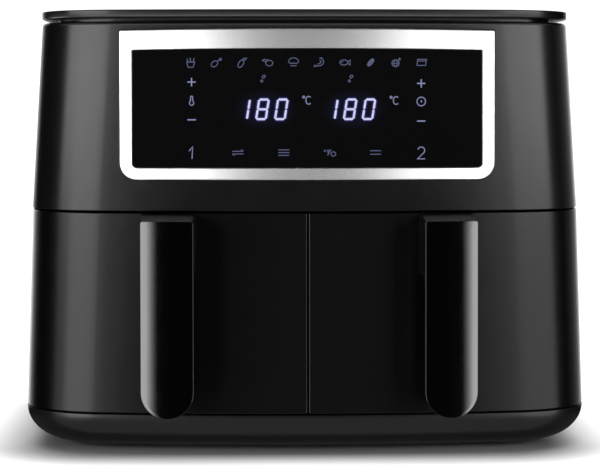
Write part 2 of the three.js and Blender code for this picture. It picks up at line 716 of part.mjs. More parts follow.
// The rotor and its long shaft, which carries both fans.
function motorRotor(side) {
  const { rotor, low, high } = MOTOR;
  const r = SHAFT.radius;
  const profile = [[0, SHAFT.low], [r, SHAFT.low], [r, low + 4], [rotor, low + 4], [rotor, high - 8]];
  profile.push([r, high - 8], [r, high + 3], [0, high + 3]);
  return onSide(turned(profile, 16).translate([0, FAN_Y, 0]), side);
}

// A plate over the cooling fan that carries the motor on four legs.
function motorBracket(side) {
  const half = 55;
  const top = MOTOR.low - GAP;
  const plate = box(-half, half, -half, half, top - 2, top);
  const legs = [[-1, -1], [1, -1], [1, 1], [-1, 1]].map(([x, y]) => {
    const [middleX, middleY] = [x * (half - 5), y * (half - 5)];
    return box(middleX - 5, middleX + 5, middleY - 5, middleY + 5, CHAMBER.high + GAP, top - 1.9);
  });
  const hole = rod(14, top - 10, top + 5, 20);
  return onSide(cut(join(plate, ...legs), hole).translate([0, FAN_Y, 0]), side);
}

function temperatureProbe(side) {
  const head = CHAMBER.high + GAP;
  const { radius, tip } = PROBE;
  const profile = [[0, tip], [radius - 1, tip], [radius, tip + 2], [radius, head]];
  profile.push([5.5, head], [5.5, head + 3], [3, head + 3], [3, head + 9], [0, head + 9]);
  return onSide(turned(profile, 10).translate([PROBE.x, PROBE.y, 0]), side);
}

function exhaustDuct(side) {
  const { half, low, high } = DUCT;
  const [front, back] = [CHAMBER.rear + GAP, REAR - REAR_PANEL.thickness - GAP];
  const outer = box(-half, half, front, back, low, high);
  const inside = box(STEEL - half, half - STEEL, 100, 200, low + STEEL, high - STEEL);
  return onSide(outer.subtract(inside), side);
}

// ---------------------------------------------------------------- electrics

// The drawer switch's case, behind the front frame, with a well for its plunger.
function drawerSwitch(side) {
  const x = side * SWITCH.x;
  const [front, back] = [CHAMBER.front, CHAMBER.front + 16];
  const body = box(x - 4.5, x + 4.5, front, back, SWITCH.z - 9, SWITCH.z + 9);
  const well = rodY(SWITCH.plungerRadius + 0.4, front - 5, front + 8, 12).translate([x, 0, SWITCH.z]);
  return body.subtract(well);
}

function switchPlunger(side) {
  const tip = BAY_FRONT - 0.4;
  const rear = CHAMBER.front + 8 - SWITCH.travel - 0.5;
  return rodY(SWITCH.plungerRadius, tip, rear, 12).translate([side * SWITCH.x, 0, SWITCH.z]);
}

// The mains board on the partition's shelf, with relays, a capacitor and a choke.
function powerBoard() {
  const low = SHELF.z + SHELF.thickness + GAP;
  const board = box(-28, 28, -36, 110, low, low + 1.6);
  const top = low + 1.5;
  const relays = [-1, 1].map((side) => box(side * 6, side * 22, -30, -10, top, top + 16));
  const capacitor = rod(8, top, top + 26, 14).translate([14, 20, 0]);
  const choke = box(-25, -5, 8, 34, top, top + 18);
  const heatSink = box(-24, 24, 60, 64, top, top + 24);
  return join(board, ...relays, capacitor, choke, heatSink);
}

// ---------------------------------------------------------------- build

add("main_housing", mainHousing(), MATT_BLACK);
add("top_cover", topCover(), MATT_BLACK);
add("base_tray", baseTray(), MATT_BLACK);
add("front_frame", frontFrame(), INNER_PLASTIC);
add("centre_partition", centrePartition(), ALUMINIUM);
add("rear_cover", rearCover(), INNER_PLASTIC);
add("cord_inlet", cordInlet(), RUBBER);
add("panel_bezel", panelBezel(), SILVER);
add("control_glass", controlGlass(), GLASS_BLACK);
add("display_carrier", displayCarrier(), INNER_PLASTIC);
add("display_board", displayBoard(), BOARD_GREEN);
add("digit_module_left", digitModule(DIGITS.x.left), LIT_MODULE);
add("digit_module_right", digitModule(DIGITS.x.right), LIT_MODULE);
add("power_board", powerBoard(), BOARD_GREEN);

const footNames = ["foot_front_left", "foot_front_right", "foot_rear_left", "foot_rear_right"];
footPlaces().forEach(([x, y], i) => {
  add(footNames[i], foot(), RUBBER).position.set(x, y, 0);
});

for (const [label, side] of [["left", -1], ["right", 1]]) {
  add(`drawer_front_${label}`, drawerFront(side), MATT_BLACK);
  add(`drawer_inner_panel_${label}`, drawerInnerPanel(side), INNER_PLASTIC);
  add(`basket_${label}`, basket(side), NON_STICK);
  add(`crisper_plate_${label}`, crisperPlate(side), NON_STICK);
  add(`chamber_${label}`, chamber(side), STEEL_SHEET);
  add(`heating_element_${label}`, heatingElement(side), ELEMENT_STEEL);
  add(`heater_guard_${label}`, heaterGuard(side), STEEL_SHEET);
  add(`convection_fan_${label}`, bladeWheel(side, CHAMBER_FAN), ALUMINIUM);
  add(`cooling_fan_${label}`, bladeWheel(side, COOLING_FAN), INNER_PLASTIC);
  add(`fan_motor_${label}`, fanMotor(side), STEEL_SHEET);
  add(`motor_rotor_${label}`, motorRotor(side), SCREW_STEEL);
  add(`motor_bracket_${label}`, motorBracket(side), STEEL_SHEET);
  add(`temperature_probe_${label}`, temperatureProbe(side), STEEL_SHEET);
  add(`exhaust_duct_${label}`, exhaustDuct(side), STEEL_SHEET);
  add(`drawer_switch_${label}`, drawerSwitch(side), INNER_PLASTIC);
  add(`switch_plunger_${label}`, switchPlunger(side), SWITCH_RED);
  add(`handle_body_${label}`, handleBody(side), MATT_BLACK);
  add(`handle_cover_${label}`, handleCover(side), GLOSS_BLACK);
  add(`handle_screw_lower_${label}`, handleScrew(side, SCREW.heights[0]), SCREW_STEEL);
  add(`handle_screw_upper_${label}`, handleScrew(side, SCREW.heights[1]), SCREW_STEEL);
}

export default fryer;
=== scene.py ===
"""Looks for the dual-drawer air fryer: fine shells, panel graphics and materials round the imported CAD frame."""
import json
import math

import bmesh
import bpy
import numpy as np
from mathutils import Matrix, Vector


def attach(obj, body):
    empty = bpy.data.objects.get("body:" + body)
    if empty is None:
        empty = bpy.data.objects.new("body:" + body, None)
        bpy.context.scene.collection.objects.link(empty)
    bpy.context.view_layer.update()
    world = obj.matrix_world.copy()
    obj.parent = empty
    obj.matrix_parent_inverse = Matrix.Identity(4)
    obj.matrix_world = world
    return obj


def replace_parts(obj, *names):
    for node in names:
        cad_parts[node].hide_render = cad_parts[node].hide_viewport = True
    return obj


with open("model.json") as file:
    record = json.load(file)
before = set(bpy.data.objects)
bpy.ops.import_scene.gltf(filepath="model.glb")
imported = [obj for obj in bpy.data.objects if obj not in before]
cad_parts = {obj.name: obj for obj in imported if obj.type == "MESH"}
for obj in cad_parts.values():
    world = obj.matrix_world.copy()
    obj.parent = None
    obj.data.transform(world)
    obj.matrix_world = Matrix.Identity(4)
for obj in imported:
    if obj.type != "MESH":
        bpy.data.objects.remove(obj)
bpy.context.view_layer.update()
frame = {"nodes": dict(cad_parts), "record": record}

# ---------------------------------------------------------------- driving dimensions, in millimetres

MM = 0.001
GAP = 0.3
WALL = 3.0

SEAM_LOW = 27.7
SEAM_HIGH = 168.4
BODY_TOP = 300.1
BASE_FLOOR = 3.0
LID_LOW = 302.3
LID_TOP = 308.2

HALF_WIDTH = (200.4, 195.8, 188.0)  # at the low seam, the high seam and the top
FRONT = (-146.0, -141.6, -136.0)
REAR = 170.0
BOW = 1007.0
FRONT_CORNER = 61.0
REAR_CORNER = 45.0

BAY_FRONT = -66.0
DRAWER_X = 96.3
DRAWER_LOW = SEAM_LOW + 0.8
DRAWER_HIGH = SEAM_HIGH - 0.6
SPLIT = 0.5
FAN_Y = 15.0
HOOD_REAR = 183.0

PANEL = {"half": 130.0, "low": 190.4, "high": 294.9, "low_corner": 12.0, "high_corner": 1.0, "sag": 1.1}
GLASS = {"half": 121.5, "low": 199.0, "high": 280.9, "low_corner": 4.0, "high_corner": 1.0, "sag": 1.0}
DIGIT = {"low": 231.7, "height": 15.0, "width": 8.1, "stroke": 1.5, "pitch": 13.0, "slant": 0.16}
DISPLAY_MIDDLES = (-29.1, 31.4)
BEZEL_PROUD = 1.0
GLASS_PROUD = 0.4

BASKET = {"half": 76.0, "front": -120.0, "rear": 140.0, "low": 36.0, "high": 160.0, "corner": 22.0}
BASKET_TAPER = 4.0
PAN_WALL = 1.0
RIM_REACH = 3.5
RIM_THICKNESS = 1.5

HANDLE = {"half": 17.9, "reach": 40.3, "low": 30.4, "high": 164.0, "rear_high": 167.2, "flare": 0.9}
COVER_THICKNESS = 2.5
GRIP = {"depth": 10.0, "gap_top": 125.0, "fillet": 12.0}

REAR_PANEL = {"half": 158.0, "low": 48.0, "high": 284.0}
DUCT = {"half": 38.0, "low": 168.0, "high": 196.0}
CORD_BUSH = {"x": -128.0, "z": 72.0, "neck": 7.0, "flange": 10.0, "bore": 3.8}
FOOT_PLACES = [(-146.0, -90.0), (146.0, -90.0), (-146.0, 118.0), (146.0, 118.0)]

# ---------------------------------------------------------------- camera


def make_camera():
    data = bpy.data.cameras.new("camera")
    data.lens = 132.13
    data.sensor_width = 36.0
    data.clip_end = 50.0
    camera = bpy.data.objects.new("camera", data)
    camera.location = (-0.0435, -1.6592, 0.2465)
    pitch, roll, yaw = math.radians(-3.607), math.radians(0.036), math.radians(-1.437)
    camera.rotation_euler = (math.pi / 2 + pitch, roll, yaw)
    bpy.context.scene.collection.objects.link(camera)
    bpy.context.scene.camera = camera


# ---------------------------------------------------------------- materials


def shader(name, color, roughness, metallic=0.0, **sockets):
    """A material and its Principled shader, with constants on the shader's own sockets."""
    look = bpy.data.materials.new(name)
    look.use_nodes = True
    surface = look.node_tree.nodes["Principled BSDF"]
    surface.inputs["Base Color"].default_value = (*color, 1.0)
    surface.inputs["Roughness"].default_value = roughness
    surface.inputs["Metallic"].default_value = metallic
    for socket, value in sockets.items():
        surface.inputs[socket.replace("_", " ")].default_value = value
    look.diffuse_color = (*color, 1.0)
    return look


def noise(look, scale, stretch=(1.0, 1.0, 1.0), detail=3.0, kind="ShaderNodeTexNoise"):
    """A procedural texture's value in the object's own metres. scale is in features per metre."""
    nodes, links = look.node_tree.nodes, look.node_tree.links
    place = nodes.new("ShaderNodeTexCoord")
    mapping = nodes.new("ShaderNodeMapping")
    mapping.inputs["Scale"].default_value = stretch
    texture = nodes.new(kind)
    texture.inputs["Scale"].default_value = scale
    if kind == "ShaderNodeTexNoise":
        texture.inputs["Detail"].default_value = detail
    links.new(place.outputs["Object"], mapping.inputs["Vector"])
    links.new(mapping.outputs["Vector"], texture.inputs["Vector"])
    return texture.outputs["Distance" if kind == "ShaderNodeTexVoronoi" else "Fac"]


def spread(look, value, low, high, start=0.3, end=0.7):
    """The value between start and end, mapped to low and high."""
    node = look.node_tree.nodes.new("ShaderNodeMapRange")
    node.inputs["From Min"].default_value = start
    node.inputs["From Max"].default_value = end
    node.inputs["To Min"].default_value = low
    node.inputs["To Max"].default_value = high
    look.node_tree.links.new(value, node.inputs["Value"])
    return node.outputs["Result"]


def vary_roughness(look, value, low, high):
    surface = look.node_tree.nodes["Principled BSDF"]
    look.node_tree.links.new(spread(look, value, low, high), surface.inputs["Roughness"])


def vary_color(look, value, dark, light, start=0.3, end=0.7):
    tree = look.node_tree
    mix = tree.nodes.new("ShaderNodeMix")
    mix.data_type = "RGBA"
    mix.inputs["A"].default_value = (*dark, 1.0)
    mix.inputs["B"].default_value = (*light, 1.0)
    tree.links.new(spread(look, value, 0.0, 1.0, start, end), mix.inputs["Factor"])
    tree.links.new(mix.outputs["Result"], tree.nodes["Principled BSDF"].inputs["Base Color"])


def emboss(look, value, strength, depth):
    """Bump from a value; depth is in metres."""
    tree = look.node_tree
    bump = tree.nodes.new("ShaderNodeBump")
    bump.inputs["Strength"].default_value = strength
    bump.inputs["Distance"].default_value = depth
    tree.links.new(value, bump.inputs["Height"])
    tree.links.new(bump.outputs["Normal"], tree.nodes["Principled BSDF"].inputs["Normal"])


def matt_black(name="matt_black_plastic", share=0.6):
    """Black plastic with a fine spark-eroded texture, its colour scaled by a share."""
    dark, light = [(share * v, share * v, share * (v + 0.0002)) for v in (0.0025, 0.0039)]
    look = shader(name, light, 0.24, IOR=1.5)
    grain = noise(look, 1700.0, detail=2.0)
    emboss(look, grain, 0.12, 0.00004)
    vary_roughness(look, noise(look, 60.0), 0.23, 0.255)
    vary_color(look, grain, dark, light)
    return look


def base_black():
    """The tray's smoother plastic, which picks up more of the light than the body."""
    look = shader("base_black_plastic", (0.0035, 0.0035, 0.0037), 0.26, IOR=1.65)
    grain = noise(look, 1300.0, detail=2.0)
    emboss(look, grain, 0.12, 0.00004)
    vary_roughness(look, noise(look, 50.0), 0.25, 0.28)
    return look


def gloss_black():
    """Polished black plastic, with the faint waviness of a moulding."""
    look = shader("gloss_black_plastic", (0.0004, 0.0004, 0.0004), 0.035, IOR=2.2)
    emboss(look, noise(look, 45.0, detail=1.0), 0.03, 0.0001)
    vary_roughness(look, noise(look, 120.0), 0.03, 0.04)
    return look


def satin_silver():
    """Vacuum-metallised plastic with a satin finish."""
    look = shader("satin_silver", (0.93, 0.93, 0.94), 0.225, 1.0)
    haze = noise(look, 35.0, (0.3, 1.0, 1.0), 3.0)
    vary_roughness(look, haze, 0.22, 0.23)
    vary_color(look, haze, (0.92, 0.92, 0.93), (0.94, 0.94, 0.95))
    return look


def panel_glass():
    """Black-backed glass with the faintest film of handling on it, and a painted glow of stray light behind each
    display.
    """
    look = shader("panel_glass", (0.0025, 0.0025, 0.0028), 0.035, IOR=1.5)
    vary_roughness(look, noise(look, 25.0, detail=5.0), 0.03, 0.05)
    tree = look.node_tree
    surface = tree.nodes["Principled BSDF"]
    # Painted glow: emission in the glass itself, strongest behind each display.
    surface.inputs["Emission Color"].default_value = (0.3, 0.35, 1.0, 1.0)
    both = tree.nodes.new("ShaderNodeMath")
    both.operation = "MAXIMUM"
    for k, middle in enumerate(DISPLAY_MIDDLES):
        tree.links.new(painted_glow_spot(look, (middle, 0.0, DIGIT["low"] + DIGIT["height"] / 2)), both.inputs[k])
    tree.links.new(both.outputs[0], surface.inputs["Emission Strength"])
    return look


def painted_glow_spot(look, centre):
    """A faint round-edged patch of stray light behind a display, brightest at its centre in millimetres."""
    nodes, links = look.node_tree.nodes, look.node_tree.links
    place = nodes.new("ShaderNodeTexCoord")
    offset, scaled, away = (nodes.new("ShaderNodeVectorMath") for _ in range(3))
    offset.operation, scaled.operation, away.operation = "SUBTRACT", "MULTIPLY", "LENGTH"
    offset.inputs[1].default_value = tuple(c * MM for c in centre)
    scaled.inputs[1].default_value = (1 / (25 * MM), 0.0, 1 / (16 * MM))
    links.new(place.outputs["Object"], offset.inputs[0])
    links.new(offset.outputs[0], scaled.inputs[0])
    links.new(scaled.outputs[0], away.inputs[0])
    fade = nodes.new("ShaderNodeMapRange")
    fade.interpolation_type = "SMOOTHSTEP"
    fade.inputs["From Min"].default_value = 1.0
    fade.inputs["From Max"].default_value = 0.45
    fade.inputs["To Max"].default_value = 0.008
    links.new(away.outputs["Value"], fade.inputs["Value"])
    return fade.outputs["Result"]


def inner_plastic():
    look = shader("inner_plastic", (0.008, 0.008, 0.0085), 0.5, Specular_IOR_Level=0.35)
    grain = noise(look, 900.0)
    emboss(look, grain, 0.3, 0.00008)
    vary_color(look, grain, (0.006, 0.006, 0.0065), (0.011, 0.011, 0.0115))
    return look


def rubber():
    look = shader("rubber", (0.011, 0.011, 0.011), 0.85)
    grain = noise(look, 700.0, detail=6.0)
    emboss(look, grain, 0.4, 0.0001)
    vary_color(look, grain, (0.008, 0.008, 0.008), (0.017, 0.017, 0.017))
    return look


def rolled_metal(name, color, roughness, streaks=(40.0, 1.0, 1.0)):
    """Sheet or turned metal with the streaks of its rolling."""
    look = shader(name, color, roughness, 1.0)
    grain = noise(look, 30.0, streaks, 5.0)
    vary_roughness(look, grain, roughness - 0.06, roughness + 0.08)
    vary_color(look, grain, tuple(0.85 * c for c in color), color)
    emboss(look, grain, 0.08, 0.00005)
    return look


def non_stick():
    """Dark coating with the pale flecks of a ceramic spray."""
    look = shader("non_stick_coating", (0.02, 0.02, 0.021), 0.34, Coat_Weight=0.25, Coat_Roughness=0.2)
    flecks = noise(look, 520.0, kind="ShaderNodeTexVoronoi")
    vary_color(look, flecks, (0.13, 0.13, 0.135), (0.017, 0.017, 0.018), 0.08, 0.2)
    emboss(look, noise(look, 600.0), 0.25, 0.00006)
    return look


def element_steel():
    """The heater's sheath, straw and blue from its own heat."""
    look = shader("element_steel", (0.16, 0.13, 0.11), 0.42, 0.9)
    cloud = noise(look, 55.0, detail=4.0)
    vary_color(look, cloud, (0.1, 0.1, 0.13), (0.25, 0.18, 0.12))
    vary_roughness(look, cloud, 0.36, 0.52)
    return look


def circuit_board():
    """Green solder resist with the lighter lines of its tracks."""
    look = shader("circuit_board", (0.01, 0.09, 0.04), 0.4, Coat_Weight=0.4)
    tracks = noise(look, 330.0, kind="ShaderNodeTexVoronoi")
    vary_color(look, tracks, (0.008, 0.07, 0.03), (0.03, 0.16, 0.07), 0.45, 0.6)
    return look


def switch_red():
    look = shader("switch_button", (0.25, 0.02, 0.02), 0.5)
    vary_color(look, noise(look, 500.0), (0.2, 0.015, 0.015), (0.3, 0.03, 0.03))
    return look


def light_module():
    look = shader("light_module", (0.3, 0.32, 0.42), 0.4)
    vary_color(look, noise(look, 300.0), (0.26, 0.28, 0.38), (0.36, 0.38, 0.48))
    return look


def lit(name, color, strength):
    """Light printed through the glass, slightly uneven as a diffuser makes it."""
    look = shader(name, (0.0012, 0.0012, 0.0013), 0.05, Emission_Strength=strength)
    tree = look.node_tree
    mix = tree.nodes.new("ShaderNodeMix")
    mix.data_type = "RGBA"
    mix.inputs["A"].default_value = (*(0.86 * c for c in color), 1.0)
    mix.inputs["B"].default_value = (*color, 1.0)
    cloud = spread(look, noise(look, 420.0), 0.0, 1.0)
    tree.links.new(cloud, mix.inputs["Factor"])
    tree.links.new(mix.outputs["Result"], tree.nodes["Principled BSDF"].inputs["Emission Color"])
    return look


LOOKS = {
    "matt_black": matt_black(),
    "gloss_black": gloss_black(),
    "bezel_silver": satin_silver(),
    "panel_glass": panel_glass(),
    "inner_plastic": inner_plastic(),
    "rubber": rubber(),
    "circuit_board": circuit_board(),
    "lit_display": light_module(),
    "steel_sheet": rolled_metal("steel_sheet", (0.5, 0.5, 0.51), 0.32),
    "aluminium": rolled_metal("aluminium", (0.62, 0.62, 0.63), 0.36),
    "non_stick": non_stick(),
    "element_steel": element_steel(),
    "screw_steel": rolled_metal("screw_steel", (0.45, 0.45, 0.46), 0.28, (1.0, 30.0, 1.0)),
    "switch_button": switch_red(),
}


# A darker copy of the matt black for the drawer fronts: painted shade, as the fronts are the same plastic as the body.
SHADED_MATT_BLACK = matt_black("matt_black_painted_shade", 0.15)


def dress_cad_nodes():
    """Gives every CAD node the procedural material of its slot in the record."""
    for part in frame["record"]["subparts"]:
        for place in frame["nodes"][part["node"]].material_slots:
            place.material = LOOKS[part["material_slot"]]


# ---------------------------------------------------------------- mesh helpers


def make_piece(name, vertices, faces, slot_name, body="housing", smooth=40.0):
    """An object from points in millimetres, with coincident points merged and its faces turned outwards."""
    mesh = bpy.data.meshes.new(name)
    mesh.from_pydata([tuple(p) for p in np.asarray(vertices, float) * MM], [], faces)
    work = bmesh.new()
    work.from_mesh(mesh)
    bmesh.ops.remove_doubles(work, verts=work.verts, dist=0.00001)
    bmesh.ops.dissolve_degenerate(work, edges=work.edges, dist=0.000005)
    bmesh.ops.recalc_face_normals(work, faces=work.faces)
    work.to_mesh(mesh)
    work.free()
    piece = bpy.data.objects.new(name, mesh)
    bpy.context.scene.collection.objects.link(piece)
    mesh.materials.append(LOOKS[slot_name])
    shade(piece, smooth)
    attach(piece, body)
    return piece


def shade(piece, angle):
    piece.data.shade_smooth()
    piece.data.set_sharp_from_angle(angle=math.radians(angle))


def bake(piece, angle=40.0):
    """Puts the piece's modifiers into its mesh."""
    graph = bpy.context.evaluated_depsgraph_get()
    made = bpy.data.meshes.new_from_object(piece.evaluated_get(graph), depsgraph=graph)
    piece.modifiers.clear()
    piece.data = made
    shade(piece, angle)


def carve(piece, tools, operation="DIFFERENCE"):
    """Cuts, joins or intersects the piece with throw-away tools."""
    for tool in tools:
        step = piece.modifiers.new("carve", "BOOLEAN")
        step.operation = operation
        step.solver = "EXACT"
        step.object = tool
    bake(piece)
    for tool in tools:
        bpy.data.objects.remove(tool)
    return piece


def soften(piece, width, angle=45.0, segments=3):
    """Rounds the piece's sharp edges by width millimetres and keeps its large faces flat."""
    bevel = piece.modifiers.new("edges", "BEVEL")
    bevel.width = width * MM
    bevel.segments = segments
    bevel.limit_method = "ANGLE"
    bevel.angle_limit = math.radians(angle)
    bevel.use_clamp_overlap = False
    bevel.miter_outer = "MITER_ARC"
    return settle(piece)


KEPT_FAMILIES = (
    "front_frame", "display_carrier", "centre_partition", "chamber", "heating_element", "heater_guard",
    "fan_motor", "motor_rotor", "motor_bracket", "temperature_probe", "exhaust_duct", "convection_fan",
    "cooling_fan", "drawer_switch", "switch_plunger", "digit_module", "handle_screw",
)


def soften_kept_nodes():
    """Fine rounds on the inner parts that keep their CAD shape."""
    for name, node in frame["nodes"].items():
        if name.startswith(KEPT_FAMILIES):
            shade(node, 40.0)
            soften(node, 0.25, 50.0, 2).modifiers["edges"].use_clamp_overlap = True


def settle(piece):
    """Takes the shading of rounded edges off the large faces beside them."""
    normals = piece.modifiers.new("normals", "WEIGHTED_NORMAL")
    normals.keep_sharp = True
    return piece


def tool(vertices, faces):
    """A throw-away object for carve."""
    return make_piece("tool", vertices, faces, "matt_black")


def lofted(rings, loop=False):
    """Points and faces of a solid through rings of equal point count, capped unless it is a loop."""
    count = len(rings[0])
    faces = []
    for k in range(len(rings) if loop else len(rings) - 1):
        low, high = k * count, ((k + 1) % len(rings)) * count
        for i in range(count):
            j = (i + 1) % count
            faces.append((low + i, low + j, high + j, high + i))
    if not loop:
        faces.append(tuple(range(count))[::-1])
        faces.append(tuple(range((len(rings) - 1) * count, len(rings) * count)))
    return np.concatenate(rings), faces


def boxed(x0, x1, y0, y1, z0, z1):
    ring = [(x0, y0), (x1, y0), (x1, y1), (x0, y1)]
    return lofted([np.array([(x, y, z) for x, y in ring]) for z in (z0, z1)])


def merged(parts):
    """Several (points, faces) as one."""
    points, faces, start = [], [], 0
    for some_points, some_faces in parts:
        points.append(np.asarray(some_points, float))
        faces += [tuple(start + i for i in face) for face in some_faces]
        start += len(some_points)
    return np.concatenate(points), faces


def turned(profile, steps=48, centre=(0.0, 0.0, 0.0), axis="z"):
    """A solid of revolution from [radius, height] points, which start and end on the axis or close on themselves."""
    angles = np.arange(steps) * 2 * math.pi / steps
    rings = []
    for radius, height in profile:
        a, b = radius * np.cos(angles), radius * np.sin(angles)
        c = np.full(steps, height)
        rings.append(np.stack([a, b, c] if axis == "z" else [a, c, b], 1) + np.array(centre))
    closed = profile[0][0] > 0
    points, faces = lofted(rings, loop=closed)
    return points, faces if closed else faces[:-2]


def prism_y(outline, y0, y1):
    """An outline of (x, z) points, extruded along Y."""
    return lofted([np.array([(x, y, z) for x, z in outline]) for y in (y0, y1)])


def prism_x(outline, x0, x1):
    """An outline of (y, z) points, extruded along X."""
    return lofted([np.array([(x, y, z) for y, z in outline]) for x in (x0, x1)])


def arc(x, y, radius, start, end, steps):
    """Points on an arc, both ends included."""
    angles = np.linspace(start, end, steps + 1)
    return [(x + radius * math.cos(a), y + radius * math.sin(a)) for a in angles]


def rounded_rectangle(x0, x1, y0, y1, radius, steps=8):
    quarter = math.pi / 2
    return [
        *arc(x1 - radius, y0 + radius, radius, -quarter, 0.0, steps),
        *arc(x1 - radius, y1 - radius, radius, 0.0, quarter, steps),
        *arc(x0 + radius, y1 - radius, radius, quarter, 2 * quarter, steps),
        *arc(x0 + radius, y0 + radius, radius, 2 * quarter, 3 * quarter, steps),
    ]


# ---------------------------------------------------------------- the body's surface


def at_height(levels, z):
    """A value given at the low seam, the high seam and the top, at height z."""
    low, seam, top = levels
    if z <= SEAM_HIGH:
        return low + (seam - low) * (z - SEAM_LOW) / (SEAM_HIGH - SEAM_LOW)
    return seam + (top - seam) * (z - SEAM_HIGH) / (BODY_TOP - SEAM_HIGH)


def corner_swing(half_width):
    return math.asin((half_width - FRONT_CORNER) / (BOW - FRONT_CORNER))


def right_half(half_width, front, inset):
    """The right half of the plan, from the middle of the front to the middle of the rear."""
    corner_x = half_width - FRONT_CORNER
    centre_y = front + BOW
    swing = corner_swing(half_width)
    corner_y = centre_y - (BOW - FRONT_CORNER) * math.cos(swing)
    down = -math.pi / 2
    return [
        *arc(0.0, centre_y, BOW - inset, down, down + swing, 24),
        *arc(corner_x, corner_y, FRONT_CORNER - inset, down + swing, 0.0, 22)[1:],
        *arc(half_width - REAR_CORNER, REAR - REAR_CORNER, REAR_CORNER - inset, 0.0, -down, 16),
    ]


def plan(half_width, front, inset=0.0):
    right = right_half(half_width, front, inset)
    left = [(-x, y) for x, y in reversed(right[1:])]
    return right + left


def plan_ring(half_width, front, inset, z):
    return np.array([(x, y, z) for x, y in plan(half_width, front, inset)])


def body_ring(z, inset=0.0):
    return plan_ring(at_height(HALF_WIDTH, z), at_height(FRONT, z), inset, z)


def envelope(inset, z0, z1):
    heights = [z0, SEAM_HIGH, z1] if z0 < SEAM_HIGH < z1 else [z0, z1]
    return lofted([body_ring(z, inset) for z in heights])


def facing(x, z, proud):
    """The depth y of the bowed front at x and z, moved proud of it."""
    return at_height(FRONT, z) + BOW - math.sqrt((BOW + proud) ** 2 - x * x)


def rounded_edge(radius, steps=6):
    """(inset, drop) pairs of a quarter round, from the side of the edge to its top."""
    turns = [i * math.pi / 2 / steps for i in range(steps + 1)]
    return [(radius * (1 - math.cos(a)), radius * (1 - math.sin(a))) for a in turns]


# ---------------------------------------------------------------- housing, lid, base


def make_housing():
    """Sides, rear rim, upper front and top wall in one moulding, open where the drawers go."""
    bottom, lintel = SEAM_LOW + 0.5, SEAM_HIGH + 0.5
    rings = [body_ring(bottom), body_ring(SEAM_HIGH)]
    rings += [body_ring(BODY_TOP - drop, inset) for inset, drop in rounded_edge(2.5)]
    housing = make_piece("housing_shell", *lofted(rings), "matt_black")
    lower = tool(*envelope(WALL, bottom - 1, lintel + WALL + 1))
    carve(lower, [tool(*boxed(-250, 250, -200, -63.1, 0, 400))])
    half, low, high = (REAR_PANEL[k] for k in ("half", "low", "high"))
    window = panel_outline(PANEL, -GAP)
    carve(
        housing,
        [
            tool(*envelope(WALL, lintel + WALL, BODY_TOP - WALL)),
            lower,
            tool(*boxed(-250, 250, -200, BAY_FRONT, 0, lintel)),
            tool(*boxed(-192, 192, -80, BAY_FRONT + 6, 0, lintel)),
            tool(*boxed(-140, 140, -50, 130, 290, 310)),
            tool(*prism_y(window, -160, -100)),
            tool(*boxed(-half - GAP, half + GAP, REAR - 10, REAR + 5, low - GAP, high + GAP)),
        ],
    )
    soften(housing, 0.5)
    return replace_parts(housing, "main_housing")


def make_lid():
    """The floating lid: a thin plate on a recessed neck, with a skirt that drops into the housing."""

    def ring(z, inset):
        return plan_ring(HALF_WIDTH[2] + 0.4, FRONT[2], inset, z)

    rings = [ring(LID_LOW, 1.4), ring(LID_LOW + 0.2, 0.9), ring(LID_LOW + 0.6, 0.4), ring(LID_LOW + 1.3, 0.02)]
    rings += [ring(LID_TOP - drop, inset) for inset, drop in rounded_edge(0.9)]
    lid = make_piece("lid", *lofted(rings), "matt_black")
    neck = tool(*lofted([ring(BODY_TOP + GAP, 11.5), ring(LID_LOW + 1, 11.5)]))
    skirt = tool(*boxed(-139, 139, -49, 129, BODY_TOP - 9, LID_LOW + 1))
    carve(lid, [neck, skirt], "UNION")
    carve(lid, [tool(*boxed(-136, 136, -46, 126, BODY_TOP - 10, LID_TOP - WALL))])
    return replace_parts(settle(lid), "top_cover")


def make_base():
    """The rounded tray under everything, with a deck under the drawers, a hollow, slots and foot holes."""
    depth, sweep = SEAM_LOW - BASE_FLOOR, 31.0

    def rings(inset, rise, edge):
        made = []
        for step in range(16, -1, -1):
            angle = step / 16 * math.pi / 2
            z = SEAM_LOW - depth * math.sin(angle) + rise
            made.append((z, inset + sweep * (1 - math.cos(angle))))
        if edge:
            made = made[:-1] + [(SEAM_LOW - drop, inset + i) for i, drop in rounded_edge(edge, 3)]
        return [plan_ring(HALF_WIDTH[0], FRONT[0], i, z) for z, i in made]

    base = make_piece("base_shell", *lofted(rings(0, 0, 0.6)), "matt_black")
    deck = tool(*lofted(rings(WALL, WALL, 0)))
    carve(deck, [tool(*boxed(-250, 250, -200, BAY_FRONT + 6, 0, SEAM_LOW - WALL))], "INTERSECT")
    room = tool(*lofted(rings(WALL, WALL, 0)))
    carve(room, [tool(*boxed(-250, 250, BAY_FRONT + 5.9, 200, 0, 60))], "INTERSECT")
    slots = [boxed(i * 14 - 3, i * 14 + 3, 20, 80, 0, 10) for i in range(-2, 3)]
    holes = [turned([(0, 0), (5.3, 0), (5.3, 10), (0, 10)], 32, (x, y, 0)) for x, y in FOOT_PLACES]
    carve(base, [deck, room, tool(*merged(slots + holes))])
    base.data.materials[0] = base_black()
    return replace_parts(settle(base), "base_tray")


def make_feet():
    profile = [(0, 0.3), (5.5, 0.3), (6.2, 0), (8.2, 0), (8.8, 0.25), (9, 0.8)]
    profile += [(9, 2.3), (8.7, 2.7), (5, 2.7), (5, 7), (4.5, 7.5), (0, 7.5)]
    names = ["foot_front_left", "foot_front_right", "foot_rear_left", "foot_rear_right"]
    for (x, y), name in zip(FOOT_PLACES, names):
        foot = make_piece("pad_" + name, *turned(profile, 48, (x, y, 0)), "rubber", smooth=30.0)
        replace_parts(foot, name)


# ---------------------------------------------------------------- control panel


